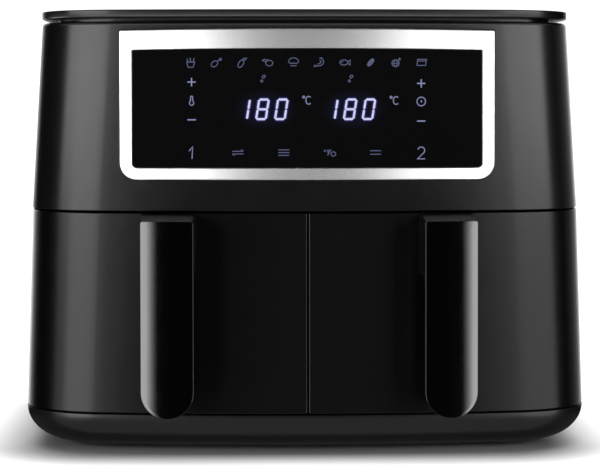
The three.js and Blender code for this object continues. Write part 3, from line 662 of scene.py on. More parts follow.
def panel_outline(shape, inset):
    """The bezel's or glass's outline as (x, z) points: rounded below, nearly sharp and lower at the ends above."""
    x, low, high = shape["half"] - inset, shape["low"] + inset, shape["high"] - inset
    r, s = max(shape["low_corner"] - inset, 0.2), max(shape["high_corner"] - inset, 0.2)
    end = high - shape["sag"]
    quarter = math.pi / 2
    corners = [
        arc(x - r, low + r, r, -quarter, 0.0, 12),
        arc(x - s, end - s, s, 0.0, quarter, 6),
        arc(s - x, end - s, s, quarter, 2 * quarter, 6),
        arc(r - x, low + r, r, 2 * quarter, 3 * quarter, 12),
    ]
    points = []
    for k, corner in enumerate(corners):
        points += corner
        start, stop = np.array(corner[-1]), np.array(corners[(k + 1) % 4][0])
        count = 16 if k % 2 == 0 else 42
        for i in range(1, count):
            along, up = start + (stop - start) * i / count
            rise = shape["sag"] * (1 - (along / x) ** 2) if k == 1 else 0.0
            points.append((along, up + rise))
    return points


def on_front(outline, proud):
    """An (x, z) outline laid on the bowed front."""
    return np.array([(x, facing(x, z, proud), z) for x, z in outline])


def shrunk(outline, spine, share):
    """The outline moved towards its spine, a segment between two (x, z) points, by a share of the way."""
    (x0, z0), (x1, z1) = spine
    return [
        (x + (min(max(x, x0), x1) - x) * share, z + (min(max(z, z0), z1) - z) * share)
        for x, z in outline
    ]


def bowed_plate(outline_at, spine, profile, rounds=8):
    """A plate that follows the bowed front. profile holds (inset, proud) pairs from its back to its face."""
    rings = [on_front(outline_at(inset), proud) for inset, proud in profile]
    first, last = profile[0], profile[-1]
    for k in range(1, rounds + 1):
        rings.insert(0, on_front(shrunk(outline_at(first[0]), spine, k / rounds), first[1]))
        rings.append(on_front(shrunk(outline_at(last[0]), spine, k / rounds), last[1]))
    points, faces = lofted(rings)
    return points, faces[:-2]


def make_bezel():
    outer = [(i, BEZEL_PROUD - drop) for i, drop in rounded_edge(0.8, 4)]
    inner = [(i, BEZEL_PROUD - drop) for i, drop in reversed(rounded_edge(0.5, 4))]
    rings = [on_front(panel_outline(PANEL, 0.0), -4.0)]
    rings += [on_front(panel_outline(PANEL, i), proud) for i, proud in outer]
    rings += [on_front(panel_outline(GLASS, -GAP - i), proud) for i, proud in inner]
    rings.append(on_front(panel_outline(GLASS, -GAP), -4.0))
    bezel = make_piece("bezel", *lofted(rings, loop=True), "bezel_silver", smooth=50.0)
    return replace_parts(settle(bezel), "panel_bezel")


def make_glass():
    reach = (GLASS["high"] - GLASS["low"]) / 2
    middle = (GLASS["high"] + GLASS["low"]) / 2
    spine = ((reach - GLASS["half"], middle), (GLASS["half"] - reach, middle))
    profile = [(0.0, -2.2), (0.0, 0.0)]
    profile += [(inset, GLASS_PROUD - drop) for inset, drop in rounded_edge(0.35, 3)]
    shape = bowed_plate(lambda inset: panel_outline(GLASS, inset), spine, profile, 12)
    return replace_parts(settle(make_piece("panel_glass", *shape, "panel_glass")), "control_glass")


def stroke(path, width, proud=GLASS_PROUD):
    """A thin line printed along (x, z) points on the glass. A path that ends where it began is closed."""
    path = np.asarray(path, float)
    closed = np.allclose(path[0], path[-1])
    if closed:
        path = path[:-1]
    ahead, behind = np.roll(path, -1, 0) - path, path - np.roll(path, 1, 0)
    if not closed:
        ahead[-1], behind[0] = behind[-1], ahead[0]
    ahead /= np.linalg.norm(ahead, axis=1)[:, None]
    behind /= np.linalg.norm(behind, axis=1)[:, None]
    along = ahead + behind
    along /= np.linalg.norm(along, axis=1)[:, None]
    reach = np.broadcast_to(width, len(path)) / 2 / np.maximum((along * ahead).sum(1), 0.5)
    out = np.stack([-along[:, 1], along[:, 0]], 1) * reach[:, None]
    rings = []
    for left, right in zip(path + out, path - out):
        corners = [(left, 0.05), (right, 0.05), (right, 0.01), (left, 0.01)]
        rings.append(np.array([(x, facing(x, z, proud + rise), z) for (x, z), rise in corners]))
    return lofted(rings, closed)


def oval(x, z, a, b, tilt=0.0, start=0.0, end=360.0, steps=20):
    """Points on an ellipse's arc, tilted by an angle in degrees."""
    turn = math.radians(tilt)
    points = arc(0.0, 0.0, 1.0, math.radians(start), math.radians(end), steps)
    return [
        (x + a * u * math.cos(turn) - b * v * math.sin(turn), z + a * u * math.sin(turn) + b * v * math.cos(turn))
        for u, v in points
    ]


def make_print(name, marks, width, look, proud=GLASS_PROUD):
    """One lit piece from marks: (x, z, paths) with the paths round that point."""
    shapes = []
    for x, z, paths in marks:
        shapes += [stroke(np.asarray(path) + (x, z), width, proud) for path in paths]
    piece = make_piece(name, *merged(shapes), "lit_display")
    piece.data.materials[0] = look
    return piece


FOODS = [
    [  # a carton of chips
        [(-3.2, 0.4), (-1.9, -3.9), (2.1, -3.9), (3.4, 0.4), (-3.2, 0.4)],
        [(-2.0, 0.6), (-2.9, 3.2)], [(0.0, 0.6), (-0.3, 4.0)], [(2.1, 0.6), (3.0, 3.6)],
    ],
    [oval(-1.5, -1.1, 3.0, 2.1, 40), [(0.7, 0.9), (2.7, 2.4)], oval(3.4, 2.6, 0.9, 0.8)],  # a drumstick
    [oval(-0.9, -1.0, 3.4, 1.9, 60), [(0.6, 1.8), (1.2, 3.4), (3.9, 3.6), (1.9, 1.5)]],  # a carrot
    [oval(1.2, -0.5, 2.9, 2.3), [(-1.4, 0.6), (-4.4, 1.5), (-3.2, 2.6), (0.4, 1.9)]],  # a steak
    [oval(0, 0.6, 4.0, 3.2, 0, -20, 200), [(-3.2, -0.6), (3.2, -0.6)], [(-2.6, -2.6), (2.6, -2.6)]],  # a bun
    [  # a prawn
        oval(0.0, 0.4, 3.6, 3.1, 20, -150, 70), oval(-0.3, 0.3, 1.7, 1.3, 20, -140, 60),
        [(-3.4, -1.9), (-4.2, -3.2), (-1.8, -3.0)], [(1.2, 3.4), (2.4, 4.2)],
    ],
    [oval(-1.0, 0, 3.3, 2.1), [(2.0, 0.5), (4.2, 2.0), (4.2, -2.0), (2.0, -0.5)], oval(-2.4, 0.3, 0.3, 0.3)],  # a fish
    [oval(0, 0, 3.6, 1.5, 50), oval(0, 0, 3.0, 0.9, 50), [(-2.0, -2.5), (2.0, 2.5)]],  # a sausage
    [  # an onion
        oval(-0.6, -0.6, 3.0, 2.8), oval(-0.6, -0.6, 1.3, 2.8), [(-3.4, -0.6), (2.2, -0.6)],
        [(1.4, 1.5), (2.6, 3.6), (3.6, 2.6), (1.4, 1.5)],
    ],
    [  # a tray
        [(-3.9, -2.4), (3.1, -2.4), (4.0, 2.6), (-3.5, 2.6), (-3.9, -2.4)],
        [(-3.2, 1.2), (3.4, 1.2)],
    ],
]
THERMOMETER = [oval(0, -1.7, 1.5, 1.5, 0, 125, 415), [(-0.85, -0.5), (-0.6, 3.0), (0.6, 3.0), (0.85, -0.5)]]
CLOCK = [oval(0, 0, 3.0, 3.0), [(0, 0.9), (0, -0.2), (0.7, -0.2)]]
DEGREES_C = [oval(-2.7, 2.2, 0.7, 0.7), oval(0.7, 0, 1.9, 2.7, 0, 45, 315)]
STIR = [oval(-0.9, -1.7, 0.7, 0.7), oval(0.5, 1.3, 1.2, 0.8, 40)]
SWAP = [
    [(-3.9, 0.9), (3.7, 0.9)], [(2.3, 2.1), (3.8, 0.9)],
    [(3.9, -0.9), (-3.7, -0.9)], [(-2.3, -2.1), (-3.8, -0.9)],
]
MENU = [[(-3.8, z), (3.8, z)] for z in (-1.9, 0.0, 1.9)]
SAME = [[(-3.8, z), (3.8, z)] for z in (-1.2, 1.2)]
HEAT_TIME = [
    [(-4.0, 1.2), (-2.4, 1.2)], [(-3.2, 2.0), (-3.2, 0.4)], [(-1.4, -2.0), (1.0, 2.2)],
    oval(2.6, -1.0, 1.6, 1.5), oval(-0.9, 0.9, 0.5, 0.9),
]
ONE = [[(-1.9, 1.2), (0.6, 4.1), (0.2, -4.2)]]
TWO = [[*oval(0, 1.8, 2.4, 2.4, 0, 165, -40, 14), (-2.6, -4.0), (2.7, -4.0)]]
PLUS = [[(-2.9, 0), (2.9, 0)], [(0, -2.9), (0, 2.9)]]
MINUS = [[(-2.9, 0), (2.9, 0)]]


def make_symbols():
    """Icons for ten foods, the key marks at both sides and a row of mode keys, printed faintly."""
    pitch = 17.75
    foods = []
    for k, paths in enumerate(FOODS):
        foods.append(((k - 4.55) * pitch, 271.4, [np.array(path) * 0.84 for path in paths]))
    faint = [(x, 260.4, STIR) for x in (-30.8, 29.6)] + [(-48.3, 209.4, SWAP), (-16.6, 209.4, MENU)]
    faint += [(15.0, 209.4, HEAT_TIME), (46.8, 209.4, SAME)]
    middle = [(-80.1, 245.2, THERMOMETER), (78.6, 244.5, CLOCK), (-0.1, 245.4, DEGREES_C), (60.4, 245.2, DEGREES_C)]
    keys = [(-80.1, 258, PLUS), (-80.1, 232, MINUS), (78.6, 257, PLUS), (78.6, 231, MINUS)]
    numbers = [(-80.1, 209.2, ONE), (78.6, 208.9, TWO)]
    make_print("symbols_faint", foods + faint, 0.58, lit("faint_print", (0.36, 0.4, 0.72), 0.32))
    make_print("symbols_clear", middle + numbers, 0.7, lit("clear_print", (0.47, 0.5, 0.85), 0.5))
    make_print("symbols_keys", keys, 0.85, lit("key_print", (0.45, 0.5, 0.85), 0.6))


def digit_paths(lit_segments):
    """The segments of one slanted digit, a to g from the top clockwise with g across the middle."""
    t, h = DIGIT["stroke"], DIGIT["height"] - DIGIT["stroke"]
    w = DIGIT["width"] - t
    corners = {
        "a": ((0, h), (w, h)), "b": ((w, h), (w, h / 2)), "c": ((w, h / 2), (w, 0)), "d": ((w, 0), (0, 0)),
        "e": ((0, 0), (0, h / 2)), "f": ((0, h / 2), (0, h)), "g": ((0, h / 2), (w, h / 2)),
    }
    paths = []
    for name in lit_segments:
        start, end = (np.array(p, float) for p in corners[name])
        step = (end - start) / np.linalg.norm(end - start)
        points = [start + step * 0.2, start + step * 0.8, end - step * 0.8, end - step * 0.2]
        paths.append([(x + DIGIT["slant"] * z, z) for x, z in points])
    return paths


def make_displays():
    """The number 180 in slanted seven-segment digits on each side, over a soft halo."""
    number = ["bc", "abcdefg", "abcdef"]
    reach = DIGIT["slant"] * (DIGIT["height"] - DIGIT["stroke"]) + DIGIT["width"] - DIGIT["stroke"] / 2
    for middle, label in zip(DISPLAY_MIDDLES, ("left", "right")):
        marks = []
        for k, lit_segments in enumerate(number):
            x = middle + (k - 1) * DIGIT["pitch"] + 3.0 - reach
            marks.append((x, DIGIT["low"] + DIGIT["stroke"] / 2, digit_paths(lit_segments)))
        halo = lit(f"halo_{label}", (0.1, 0.1, 0.6), 0.2)
        make_print(f"digits_halo_{label}", marks, [2.8, 3.4, 3.4, 2.8], halo)
        stroke_width = DIGIT["stroke"]
        widths = [0.5 * stroke_width, stroke_width, stroke_width, 0.5 * stroke_width]
        glow = lit(f"digits_{label}", (0.7, 0.69, 1.0), 0.97)
        make_print(f"digits_{label}", marks, widths, glow, GLASS_PROUD + 0.05)


# ---------------------------------------------------------------- drawers


def drawer_outline(half_width, front, inset, side_inset):
    """A drawer front's plan on the right-hand side, closed along the split and the rear."""
    rear = BAY_FRONT - 0.6
    edge = 0.9
    split = SPLIT + side_inset
    right = right_half(half_width, front, inset)
    run = [(x, y) for x, y in right if x > split + edge + 1.0 and y < rear - 0.5]
    y = front + BOW - math.sqrt((BOW - inset) ** 2 - (split + edge) ** 2)
    corner = arc(split + edge, y + edge, edge, math.pi, 1.5 * math.pi, 4)
    return [(split, rear), *corner, *run, (half_width - inset, rear)]


def make_drawer_front(side, label):
    """The moulded front: a bowed shell with rounded edges, open to the rear."""
    edge = rounded_edge(0.9, 4)
    levels = [(DRAWER_LOW + drop, inset) for inset, drop in reversed(edge)]
    levels += [(DRAWER_HIGH - drop, inset) for inset, drop in edge]
    rings = []
    for z, inset in levels:
        outline = drawer_outline(at_height(HALF_WIDTH, z), at_height(FRONT, z), inset, inset)
        rings.append(np.array([(x, y, z) for x, y in outline]))
    count = min(len(r) for r in rings)
    assert all(len(r) == count for r in rings)
    points, faces = lofted(rings)
    front = make_piece(f"drawer_shell_{label}", points * (side, 1, 1), faces, "matt_black", f"drawer_{label}")
    pocket = tool(*envelope(WALL, SEAM_LOW, SEAM_HIGH))
    inner = sorted([side * (SPLIT + WALL), side * 250.0])
    carve(pocket, [tool(*boxed(*inner, -200, -50, DRAWER_LOW + WALL, DRAWER_HIGH - WALL))], "INTERSECT")
    holes = [
        turned([(0, -200), (2.3, -200), (2.3, -100), (0, -100)], 24, (side * DRAWER_X, 0, z), "y")
        for z in (138, 158)
    ]
    carve(front, [pocket, tool(*merged(holes))])
    # The darker copy of the matt black: painted shade on the drawer fronts.
    front.data.materials[0] = SHADED_MATT_BLACK
    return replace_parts(settle(front), f"drawer_front_{label}")


def basket_ring(z, grow):
    """The basket's outline at height z, on the right of its drawer's middle."""
    share = 1 - (z - BASKET["low"]) / (BASKET["high"] - BASKET["low"])
    inset = BASKET_TAPER * share - grow
    half, front, rear = BASKET["half"] - inset, BASKET["front"] + inset, BASKET["rear"] - inset
    outline = rounded_rectangle(-half, half, front, rear, BASKET["corner"] - inset, 12)
    return np.array([(x, y, z) for x, y in outline])


def placed(shape, side):
    """A shape made round X = 0, moved to its drawer's middle; the left one is mirrored."""
    points, faces = shape
    return points * (side, 1, 1) + np.array([side * DRAWER_X, 0, 0]), faces


def pan_levels(grow, fillet):
    """(z, grow) pairs up a wall with a rounded foot."""
    low = BASKET["low"] - grow
    return [(low + drop, grow - inset) for inset, drop in reversed(rounded_edge(fillet, 6))]


def make_basket(side, label):
    """The coated pan: tapered walls, a rounded foot and a rolled rim."""
    high = BASKET["high"]
    levels = pan_levels(0.0, 8.0)
    levels += [(high - 3.5, 0.0), (high - 2.2, 0.5), (high - RIM_THICKNESS, 2.0), (high - 1.4, 3.0)]
    levels += [(high - 0.8, RIM_REACH), (high - 0.2, 3.1), (high, 2.4), (high, 0.8)]
    levels += [(high - 0.5, -0.4), (high - 1.6, -PAN_WALL)]
    levels += list(reversed(pan_levels(-PAN_WALL, 8.0 - PAN_WALL)))
    shape = lofted([basket_ring(z, grow) for z, grow in levels])
    pan = make_piece(f"pan_{label}", *placed(shape, side), "non_stick", f"drawer_{label}", smooth=35.0)
    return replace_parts(pan, f"basket_{label}")


def plate_ring(z, grow):
    """The basket's foot outline, grown and lifted to z."""
    ring = basket_ring(BASKET["low"], grow)
    ring[:, 2] = z
    return ring


def make_crisper(side, label):
    """The perforated plate that food lies on: a turned-down edge, rows of holes and soft corner bumpers."""
    body = f"crisper_{label}"
    floor = BASKET["low"] + PAN_WALL + GAP
    top = floor + 8.0
    edge = -PAN_WALL - 3.0
    profile = [(top - 1.5, -3.0), (top - 2.2, -1.8), (floor + 4.6, -1.2), (floor + 4.0, -0.9)]
    profile += [(floor + 4.0, -0.3), (floor + 4.6, 0.0), (top - 1.6, 0.0), (top - 0.5, -0.6), (top, -2.0)]
    plate = make_piece(
        f"grid_{label}", *placed(lofted([plate_ring(z, edge + g) for z, g in profile]), side), "non_stick", body
    )
    pitch, radius = 12.0, 3.4
    holes = []
    for row in range(-9, 10):
        y = 10.0 + row * pitch * math.sin(math.pi / 3)
        for column in range(-5, 6):
            x = (column + (row % 2) / 2) * pitch
            if abs(x) < 60 and abs(y - 10) < 104:
                profile = [(0, floor), (radius, floor), (radius, top + 5), (0, top + 5)]
                holes.append(turned(profile, 20, (side * DRAWER_X + x, y, 0)))
    carve(plate, [tool(*merged(holes))])
    soften(plate, 0.3, segments=2)
    bumpers = []
    for x, y in [(-1, -1), (1, -1), (1, 1), (-1, 1)]:
        profile = [(0, floor), (2.6, floor), (3.2, floor + 0.6), (3.2, top - 1.2), (0, top - 1.2)]
        bumpers.append(turned(profile, 24, (side * DRAWER_X + x * 52, 10 + y * 106, 0)))
    pads = make_piece(f"grid_pads_{label}", *merged(bumpers), "rubber", body)
    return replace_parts(plate, f"crisper_plate_{label}"), pads


def make_inner_panel(side, label):
    """The plate that closes a drawer front's rear, with the basket's section cut out of it."""
    back = BAY_FRONT - 0.9
    levels = (DRAWER_LOW + WALL + GAP, DRAWER_HIGH - WALL - GAP)
    panel = tool(*envelope(WALL + GAP, *levels))
    panel.name = f"drawer_back_{label}"
    span = sorted([side * (SPLIT + WALL + GAP), side * 250.0])
    carve(panel, [tool(*boxed(*span, back - WALL, back, 0, 300))], "INTERSECT")
    hole = lofted([basket_ring(z, grow) for z, grow in pan_levels(0.4, 8.4) + [(BASKET["high"], 0.4)]])
    x, rim = side * DRAWER_X, BASKET["half"] + RIM_REACH + 0.4
    mouth = boxed(x - rim, x + rim, -100, -50, BASKET["high"] - RIM_THICKNESS - 0.4, BASKET["high"] + 10)
    carve(panel, [tool(*placed(hole, side)), tool(*mouth)])
    panel.data.materials[0] = LOOKS["inner_plastic"]
    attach(panel, f"drawer_{label}")
    soften(panel, 0.4)
    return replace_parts(panel, f"drawer_inner_panel_{label}")


# ---------------------------------------------------------------- handles


def handle_outline(inset, low, high, half, corner=0.0):
    """The handle seen from the front, as (x, z) points: square above, half round below."""
    half, low, high = half - inset, low + inset, high - inset
    r = max(corner - inset, 0.15)
    across = [(x, high) for x in np.linspace(half - r, r - half, 12)[1:-1]]
    right, left = ((half - r, 0.0), (r - half, math.pi / 2))
    top = [*arc(right[0], high - r, r, right[1], math.pi / 2, 5), *across]
    top += arc(left[0], high - r, r, left[1], math.pi, 5)
    sides = np.linspace(high - r, low + half, 14)[1:-1]
    foot = arc(0.0, low + half, half, math.pi, 2 * math.pi, 40)
    return [*top, *[(-half, z) for z in sides], *foot, *[(half, z) for z in sides[::-1]]]


def on_drawer(outline, side, proud):
    """An (x, z) outline round a handle's middle, laid at a distance in front of the drawer's bowed face."""
    middle = side * DRAWER_X
    return np.array([(middle + side * x, facing(middle + side * x, z, proud), z) for x, z in outline])


def make_handle_cover(side, label):
    """The glossy plate on the grip, with a thin bevel all round."""
    half, low, high, reach = (HANDLE[k] for k in ("half", "low", "high", "reach"))
    profile = [(0.25, -COVER_THICKNESS), (0.0, 0.25 - COVER_THICKNESS)]
    profile += [(inset, -drop) for inset, drop in rounded_edge(0.3, 4)]
    rings = [on_drawer(handle_outline(i, low, high, half, 1.6), side, reach + d) for i, d in profile]
    spine = ((0.0, low + half), (0.0, high - half))
    for k in range(1, 9):
        back = shrunk(handle_outline(profile[0][0], low, high, half, 1.6), spine, k / 8)
        face = shrunk(handle_outline(profile[-1][0], low, high, half, 1.6), spine, k / 8)
        rings.insert(0, on_drawer(back, side, reach - COVER_THICKNESS))
        rings.append(on_drawer(face, side, reach))
    points, faces = lofted(rings)
    cover = make_piece(f"grip_plate_{label}", points, faces[:-2], "gloss_black", f"drawer_{label}", 50.0)
    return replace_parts(settle(cover), f"handle_cover_{label}")


def make_handle_body(side, label):
    """A block against the drawer that a grip bar hangs from, with room for fingers behind the bar."""
    half, low, high = (HANDLE[k] for k in ("half", "low", "high"))
    front = HANDLE["reach"] - COVER_THICKNESS - GAP
    rear_high, flare = HANDLE["rear_high"], HANDLE["flare"]
    rings = []
    for proud, inset in [(0.4, -flare), (front - 0.6, 0.7), (front, 1.2)]:
        outline = handle_outline(inset, low, rear_high + 8, half, 0.0)
        rings.append(on_drawer(outline, side, proud))
    body = make_piece(f"grip_{label}", *lofted(rings), "matt_black", f"drawer_{label}")
    face = facing(DRAWER_X, 100.0, 0.0)

    def bar_rear(z):
        return facing(DRAWER_X, z, 0.0) - front + GRIP["depth"]

    top, fillet = GRIP["gap_top"], GRIP["fillet"]
    gap = [(bar_rear(top - fillet), top - fillet)]
    gap += arc(bar_rear(top - fillet) + fillet, top - fillet, fillet, math.pi, math.pi / 2, 12)[1:]
    gap += [(-100, top), (-100, low - 10), (bar_rear(low - 10), low - 10)]
    slope_rear = facing(DRAWER_X, rear_high, 0.0)
    slope = [(face + 20, rear_high), (slope_rear, rear_high), (facing(DRAWER_X, high, front), high - 0.2)]
    slope += [(-250, high - 2), (-250, 200), (face + 20, 200)]
    x = side * DRAWER_X
    carve(body, [tool(*prism_x(gap, x - 50, x + 50)), tool(*prism_x(slope, x - 50, x + 50))])
    soften(body, 0.9, 40.0)
    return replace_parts(body, f"handle_body_{label}")


# ---------------------------------------------------------------- rear


def stadium(x, z0, z1, width, steps=8):
    """An upright slot's outline with round ends, as (x, z) points."""
    r = width / 2
    return [*arc(x, z1 - r, r, 0.0, math.pi, steps), *arc(x, z0 + r, r, math.pi, 2 * math.pi, steps)]


def slot_row(count, pitch, width, x, z0, z1, y0, y1):
    middles = [x + (i - (count - 1) / 2) * pitch for i in range(count)]
    return [prism_y(stadium(middle, z0, z1, width), y0, y1) for middle in middles]


def make_rear_cover():
    """The rear panel: a slotted hood over each exhaust duct, and intake slots above."""
    half, low, high = (REAR_PANEL[k] for k in ("half", "low", "high"))
    outline = rounded_rectangle(-half, half, low, high, 0.6, 2)
    cover = make_piece("back_panel", *prism_y(outline, REAR - WALL, REAR), "inner_plastic")
    hoods, openings = [], []
    for side in (-1, 1):
        x = side * DRAWER_X
        rings = []
        for y, grow in [(REAR - 1, WALL + 6), (HOOD_REAR - 1.5, WALL + 0.5), (HOOD_REAR - 0.4, WALL), (HOOD_REAR, WALL - 1)]:
            reach = DUCT["half"] + grow
            low_z, high_z = DUCT["low"] - grow, DUCT["high"] + grow
            ring = rounded_rectangle(x - reach, x + reach, low_z, high_z, max(grow, 1.5), 8)
            rings.append(np.array([(px, y, pz) for px, pz in ring]))
        hoods.append(tool(*lofted(rings)))
        openings.append(
            boxed(x - DUCT["half"], x + DUCT["half"], REAR - 10, HOOD_REAR - WALL, DUCT["low"], DUCT["high"])
        )
        openings += slot_row(8, 9, 5, x, DUCT["low"] + 2, DUCT["high"] - 2, HOOD_REAR - 6, HOOD_REAR + 5)
        openings += slot_row(9, 9, 4.5, x, 232, 262, REAR - 10, REAR + 5)
    bush = CORD_BUSH
    neck = bush["neck"] + GAP
    profile = [(0, REAR - 10), (neck, REAR - 10), (neck, REAR + 5), (0, REAR + 5)]
    openings.append(turned(profile, 32, (bush["x"], 0, bush["z"]), "y"))
    carve(cover, hoods, "UNION")
    rooms, slots = openings[::18], [o for i, o in enumerate(openings) if i % 18]
    carve(cover, [tool(*merged(rooms)), tool(*merged(slots))])
    soften(cover, 0.5)
    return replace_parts(cover, "rear_cover")


def make_rear_screws():
    """Pan-head screws with cross recesses, one near each corner of the rear panel."""
    head = [(0, -1), (3.2, -1), (3.2, 0.2), (2.9, 0.8), (2.2, 1.25), (1.2, 1.5), (0, 1.6)]
    inset, length, width, floor = 8.0, 1.9, 0.38, REAR + 0.6
    x, low, high = REAR_PANEL["half"] - inset, REAR_PANEL["low"] + inset, REAR_PANEL["high"] - inset
    places = [(-x, low), (x, low), (-x, high), (x, high)]
    heads = [turned(head, 32, (x, REAR, z), "y") for x, z in places]
    screws = make_piece("rear_screws", *merged(heads), "screw_steel")
    level = [boxed(x - length, x + length, floor, REAR + 3, z - width, z + width) for x, z in places]
    upright = [boxed(x - width, x + width, floor, REAR + 3, z - length, z + length) for x, z in places]
    carve(screws, [tool(*merged(level)), tool(*merged(upright))])


def make_cord_inlet():
    """The bush that the mains lead would leave through, with a round flange."""
    neck, flange, bore = (CORD_BUSH[k] for k in ("neck", "flange", "bore"))
    profile = [(bore, -6.6), (bore + 0.4, -7), (neck - 0.5, -7), (neck, -6.5), (neck, GAP), (flange, GAP)]
    profile += [(flange, 1.6), (flange - 0.5, 2.6), (flange - 1.4, 3), (bore + 1.4, 3), (bore + 0.4, 2.4)]
    shape = turned(profile, 48, (CORD_BUSH["x"], REAR, CORD_BUSH["z"]), "y")
    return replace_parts(make_piece("lead_bush", *shape, "rubber"), "cord_inlet")


# ---------------------------------------------------------------- light and floor


def area_light(name, location, target, size, radiance):
    """A soft box, size = (width, height) in metres, with the radiance of its face."""
    data = bpy.data.lights.new(name, "AREA")
    data.shape = "RECTANGLE"
    data.size, data.size_y = size
    data.energy = radiance * math.pi * size[0] * size[1]
    light = bpy.data.objects.new(name, data)
    light.location = location
    light.rotation_euler = (Vector(target) - Vector(location)).to_track_quat("-Z", "Y").to_euler()
    light.visible_camera = False
    bpy.context.scene.collection.objects.link(light)
    return light


def upright_box(name, start, end, low, high, radiance):
    """An upright soft box standing between two floor points, facing the object."""
    (x0, y0), (x1, y1) = start, end
    middle = Vector(((x0 + x1) / 2, (y0 + y1) / 2, (low + high) / 2))
    width = math.hypot(x1 - x0, y1 - y0)
    normal = Vector((y1 - y0, x0 - x1, 0)).normalized()
    if normal.dot(-middle) < 0:
        normal = -normal
    return area_light(name, middle, middle + normal, (width, high - low), radiance)


def at_bearing(degrees, distance):
    """A floor point seen from the object at a bearing, 0 straight in front and positive to the right."""
    angle = math.radians(degrees)
    return distance * math.sin(angle), -distance * math.cos(angle)


def only_on(light, names):
    """Restricts a light to some pieces, as a flag beside the lamp does."""
    group = bpy.data.collections.new(light.name + "_receivers")
    for name in names:
        group.objects.link(bpy.data.objects[name])
    light.light_linking.receiver_collection = group


def make_cards():
    """Dim cards for single pieces: over the top edge, before the drawers and beside the rear corners."""
    fronts = ["drawer_shell_left", "drawer_shell_right"]
    cards = [(-100, -25, 0.83, 2.6, 0.7, ["housing_shell"]), (25, 100, 0.83, 2.6, 0.7, ["housing_shell"])]
    cards += [(-25, 25, 0.8, 1.15, 3.6, ["housing_shell"]), (-25, 25, -0.5, 0.07, 3.9, ["lid"])]
    cards += [(-120, -82, -0.5, 0.07, 4.5, ["lid"]), (-5, 11, -0.8, 0.8, 0.1, fronts)]
    cards += [(-24, -8.5, -0.8, 0.82, 0.72, ["bezel"]), (11, 24, -0.8, 0.82, 0.72, ["bezel"])]
    left = [(-166, -146, 1.5), (-146, -136, 0.8), (-136, -127, 0.25)]
    right = [(146, 166, 0.9), (134, 146, 0.5), (122, 134, 0.25), (108, 122, 0.09)]
    cards += [(start, end, -0.8, 0.8, radiance, fronts) for start, end, radiance in left]
    cards += [(start, end, -0.8, 0.8, radiance, [*fronts, "housing_shell"]) for start, end, radiance in right]
    for k, (start, end, low, high, radiance, names) in enumerate(cards):
        card = upright_box(f"card_{k}", at_bearing(start, 2.2), at_bearing(end, 2.2), low, high, radiance)
        only_on(card, names)


def make_lights():
    """Banks of soft boxes at both sides, a strip for each glossy handle, a backdrop and lamps above and below."""
    banks = [(-24, -64, 4.6, 2.2), (-64, -80, 4.0, 0.7), (24, 80, 3.8, 1.2)]
    for k, (start, end, high_radiance, low_radiance) in enumerate(banks):
        near, far = at_bearing(start, 2.2), at_bearing(end, 2.2)
        for label, share in (("body", 1.0), ("bezel", 7.0)):
            key = upright_box(f"key_{label}_{k}", near, far, 0.3, 0.82, share * high_radiance)
            fill = upright_box(f"fill_{label}_{k}", near, far, -0.8, 0.29, share * low_radiance)
            if label == "bezel":
                only_on(key, ["bezel"])
                only_on(fill, ["bezel"])
    make_cards()
    plates = ["grip_plate_left", "grip_plate_right"]
    for label, start, end in [("left", -0.612, -0.84), ("right", 0.739, 0.97)]:
        step = math.copysign(0.012, start)
        edges = [(end, start, 2.6)]
        edges += [(start - step * k, start - step * (k + 1), r) for k, r in enumerate((1.6, 0.8, 0.25))]
        for k, (outer, inner, radiance) in enumerate(edges):
            only_on(upright_box(f"strip_{label}_{k}", (outer, -2.12), (inner, -2.12), -0.6, 0.26, radiance), plates)
    upright_box("backdrop", (-1.6, 2.4), (1.6, 2.4), -0.4, 1.4, 0.8)
    area_light("top_box", (0, 0.75, 2.2), (0, 0.75, 0), (2.4, 1.7), 2.0)
    floor_box = area_light("floor_box", (0, 0.7, 2.21), (0, 0.7, 0), (3.0, 2.1), 2.5)
    floor_box.visible_glossy = False
    for label, y, radiance in (("front", -1.7, 0.24), ("rear", 1.5, 0.04)):
        glow = area_light(f"under_glow_{label}", (0, y, -1.0), (0, y, 0), (5.0, 3.2), radiance)
        glow.visible_diffuse = False


def background(tree, strength):
    node = tree.nodes.new("ShaderNodeBackground")
    node.inputs["Color"].default_value = (1, 1, 1, 1)
    node.inputs["Strength"].default_value = strength
    return node.outputs["Background"]


def make_world():
    """White to the camera, dim to matt surfaces and nearly black to reflections."""
    world = bpy.data.worlds.new("studio")
    world.use_nodes = True
    bpy.context.scene.world = world
    tree = world.node_tree
    tree.nodes.clear()
    path = tree.nodes.new("ShaderNodeLightPath")
    output = tree.nodes.new("ShaderNodeOutputWorld")
    unseen = tree.nodes.new("ShaderNodeMixShader")
    seen = tree.nodes.new("ShaderNodeMixShader")
    tree.links.new(path.outputs["Is Glossy Ray"], unseen.inputs["Fac"])
    tree.links.new(background(tree, 0.35), unseen.inputs[1])
    tree.links.new(background(tree, 0.004), unseen.inputs[2])
    tree.links.new(path.outputs["Is Camera Ray"], seen.inputs["Fac"])
    tree.links.new(unseen.outputs["Shader"], seen.inputs[1])
    tree.links.new(background(tree, 1.2), seen.inputs[2])
    tree.links.new(seen.outputs["Shader"], output.inputs["Surface"])


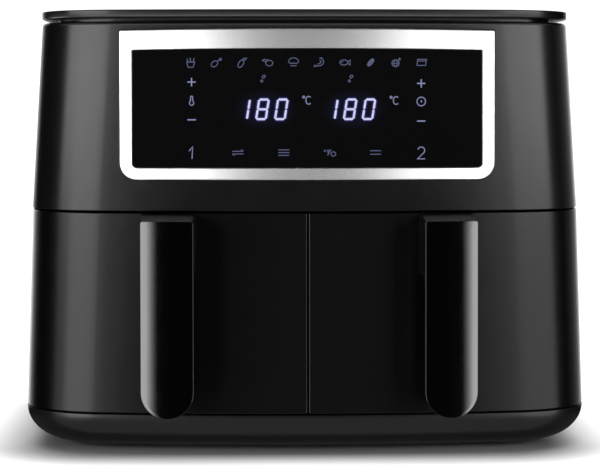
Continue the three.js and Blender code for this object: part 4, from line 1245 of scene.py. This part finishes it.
def floor_with_painted_shadow():
    """Grey paper with an emission that rises with the distance from a box round the object's footprint: a painted
    shadow round the object, fading to full brightness away from it.
    """
    look = shader("floor", (0.3, 0.3, 0.3), 0.9, Specular_IOR_Level=0.1)
    tree = look.node_tree
    surface = tree.nodes["Principled BSDF"]
    place = tree.nodes.new("ShaderNodeTexCoord")
    value = place.outputs["Object"]
    # Distance from a box round the footprint, its middle 6 mm left of the origin, which sets where the painted shadow
    # lies.
    steps = [("ADD", (0.006, 0, 0)), ("ABSOLUTE", None), ("SUBTRACT", (0.1445, 0.105, 0))]
    for operation, operand in [*steps, ("MAXIMUM", (0, 0, 0)), ("LENGTH", None)]:
        node = tree.nodes.new("ShaderNodeVectorMath")
        node.operation = operation
        if operand:
            node.inputs[1].default_value = operand
        tree.links.new(value, node.inputs[0])
        value = node.outputs["Value" if operation == "LENGTH" else "Vector"]
    # Painted shadow: no emission within 30 mm of the box, full emission from 105 mm outwards.
    painted_shadow_fade = spread(look, value, 0.0, 1.0, 0.03, 0.105)
    painted_shadow_fade.node.interpolation_type = "SMOOTHSTEP"
    tree.links.new(painted_shadow_fade, surface.inputs["Emission Strength"])
    surface.inputs["Emission Color"].default_value = (1, 1, 1, 1)
    vary_color(look, noise(look, 3.0), (0.295, 0.295, 0.295), (0.305, 0.305, 0.305))
    return look


def make_floor():
    mesh = bpy.data.meshes.new("floor")
    reach = 6.0
    corners = [(-reach, -reach, 0), (reach, -reach, 0), (reach, reach, 0), (-reach, reach, 0)]
    mesh.from_pydata(corners, [], [(0, 1, 2, 3)])
    mesh.materials.append(floor_with_painted_shadow())
    floor = bpy.data.objects.new("floor", mesh)
    floor.visible_glossy = False
    floor.visible_shadow = False
    bpy.context.scene.collection.objects.link(floor)


# ---------------------------------------------------------------- the scene

make_camera()
make_world()
make_floor()
bpy.context.scene.view_settings.view_transform = "Standard"

dress_cad_nodes()
soften_kept_nodes()
make_housing()
make_lid()
make_base()
make_feet()
make_bezel()
make_glass()
make_symbols()
make_displays()
for side, label in ((-1, "left"), (1, "right")):
    make_drawer_front(side, label)
    make_inner_panel(side, label)
    make_basket(side, label)
    make_crisper(side, label)
    make_handle_body(side, label)
    make_handle_cover(side, label)
make_rear_cover()
make_rear_screws()
make_cord_inlet()
make_lights()
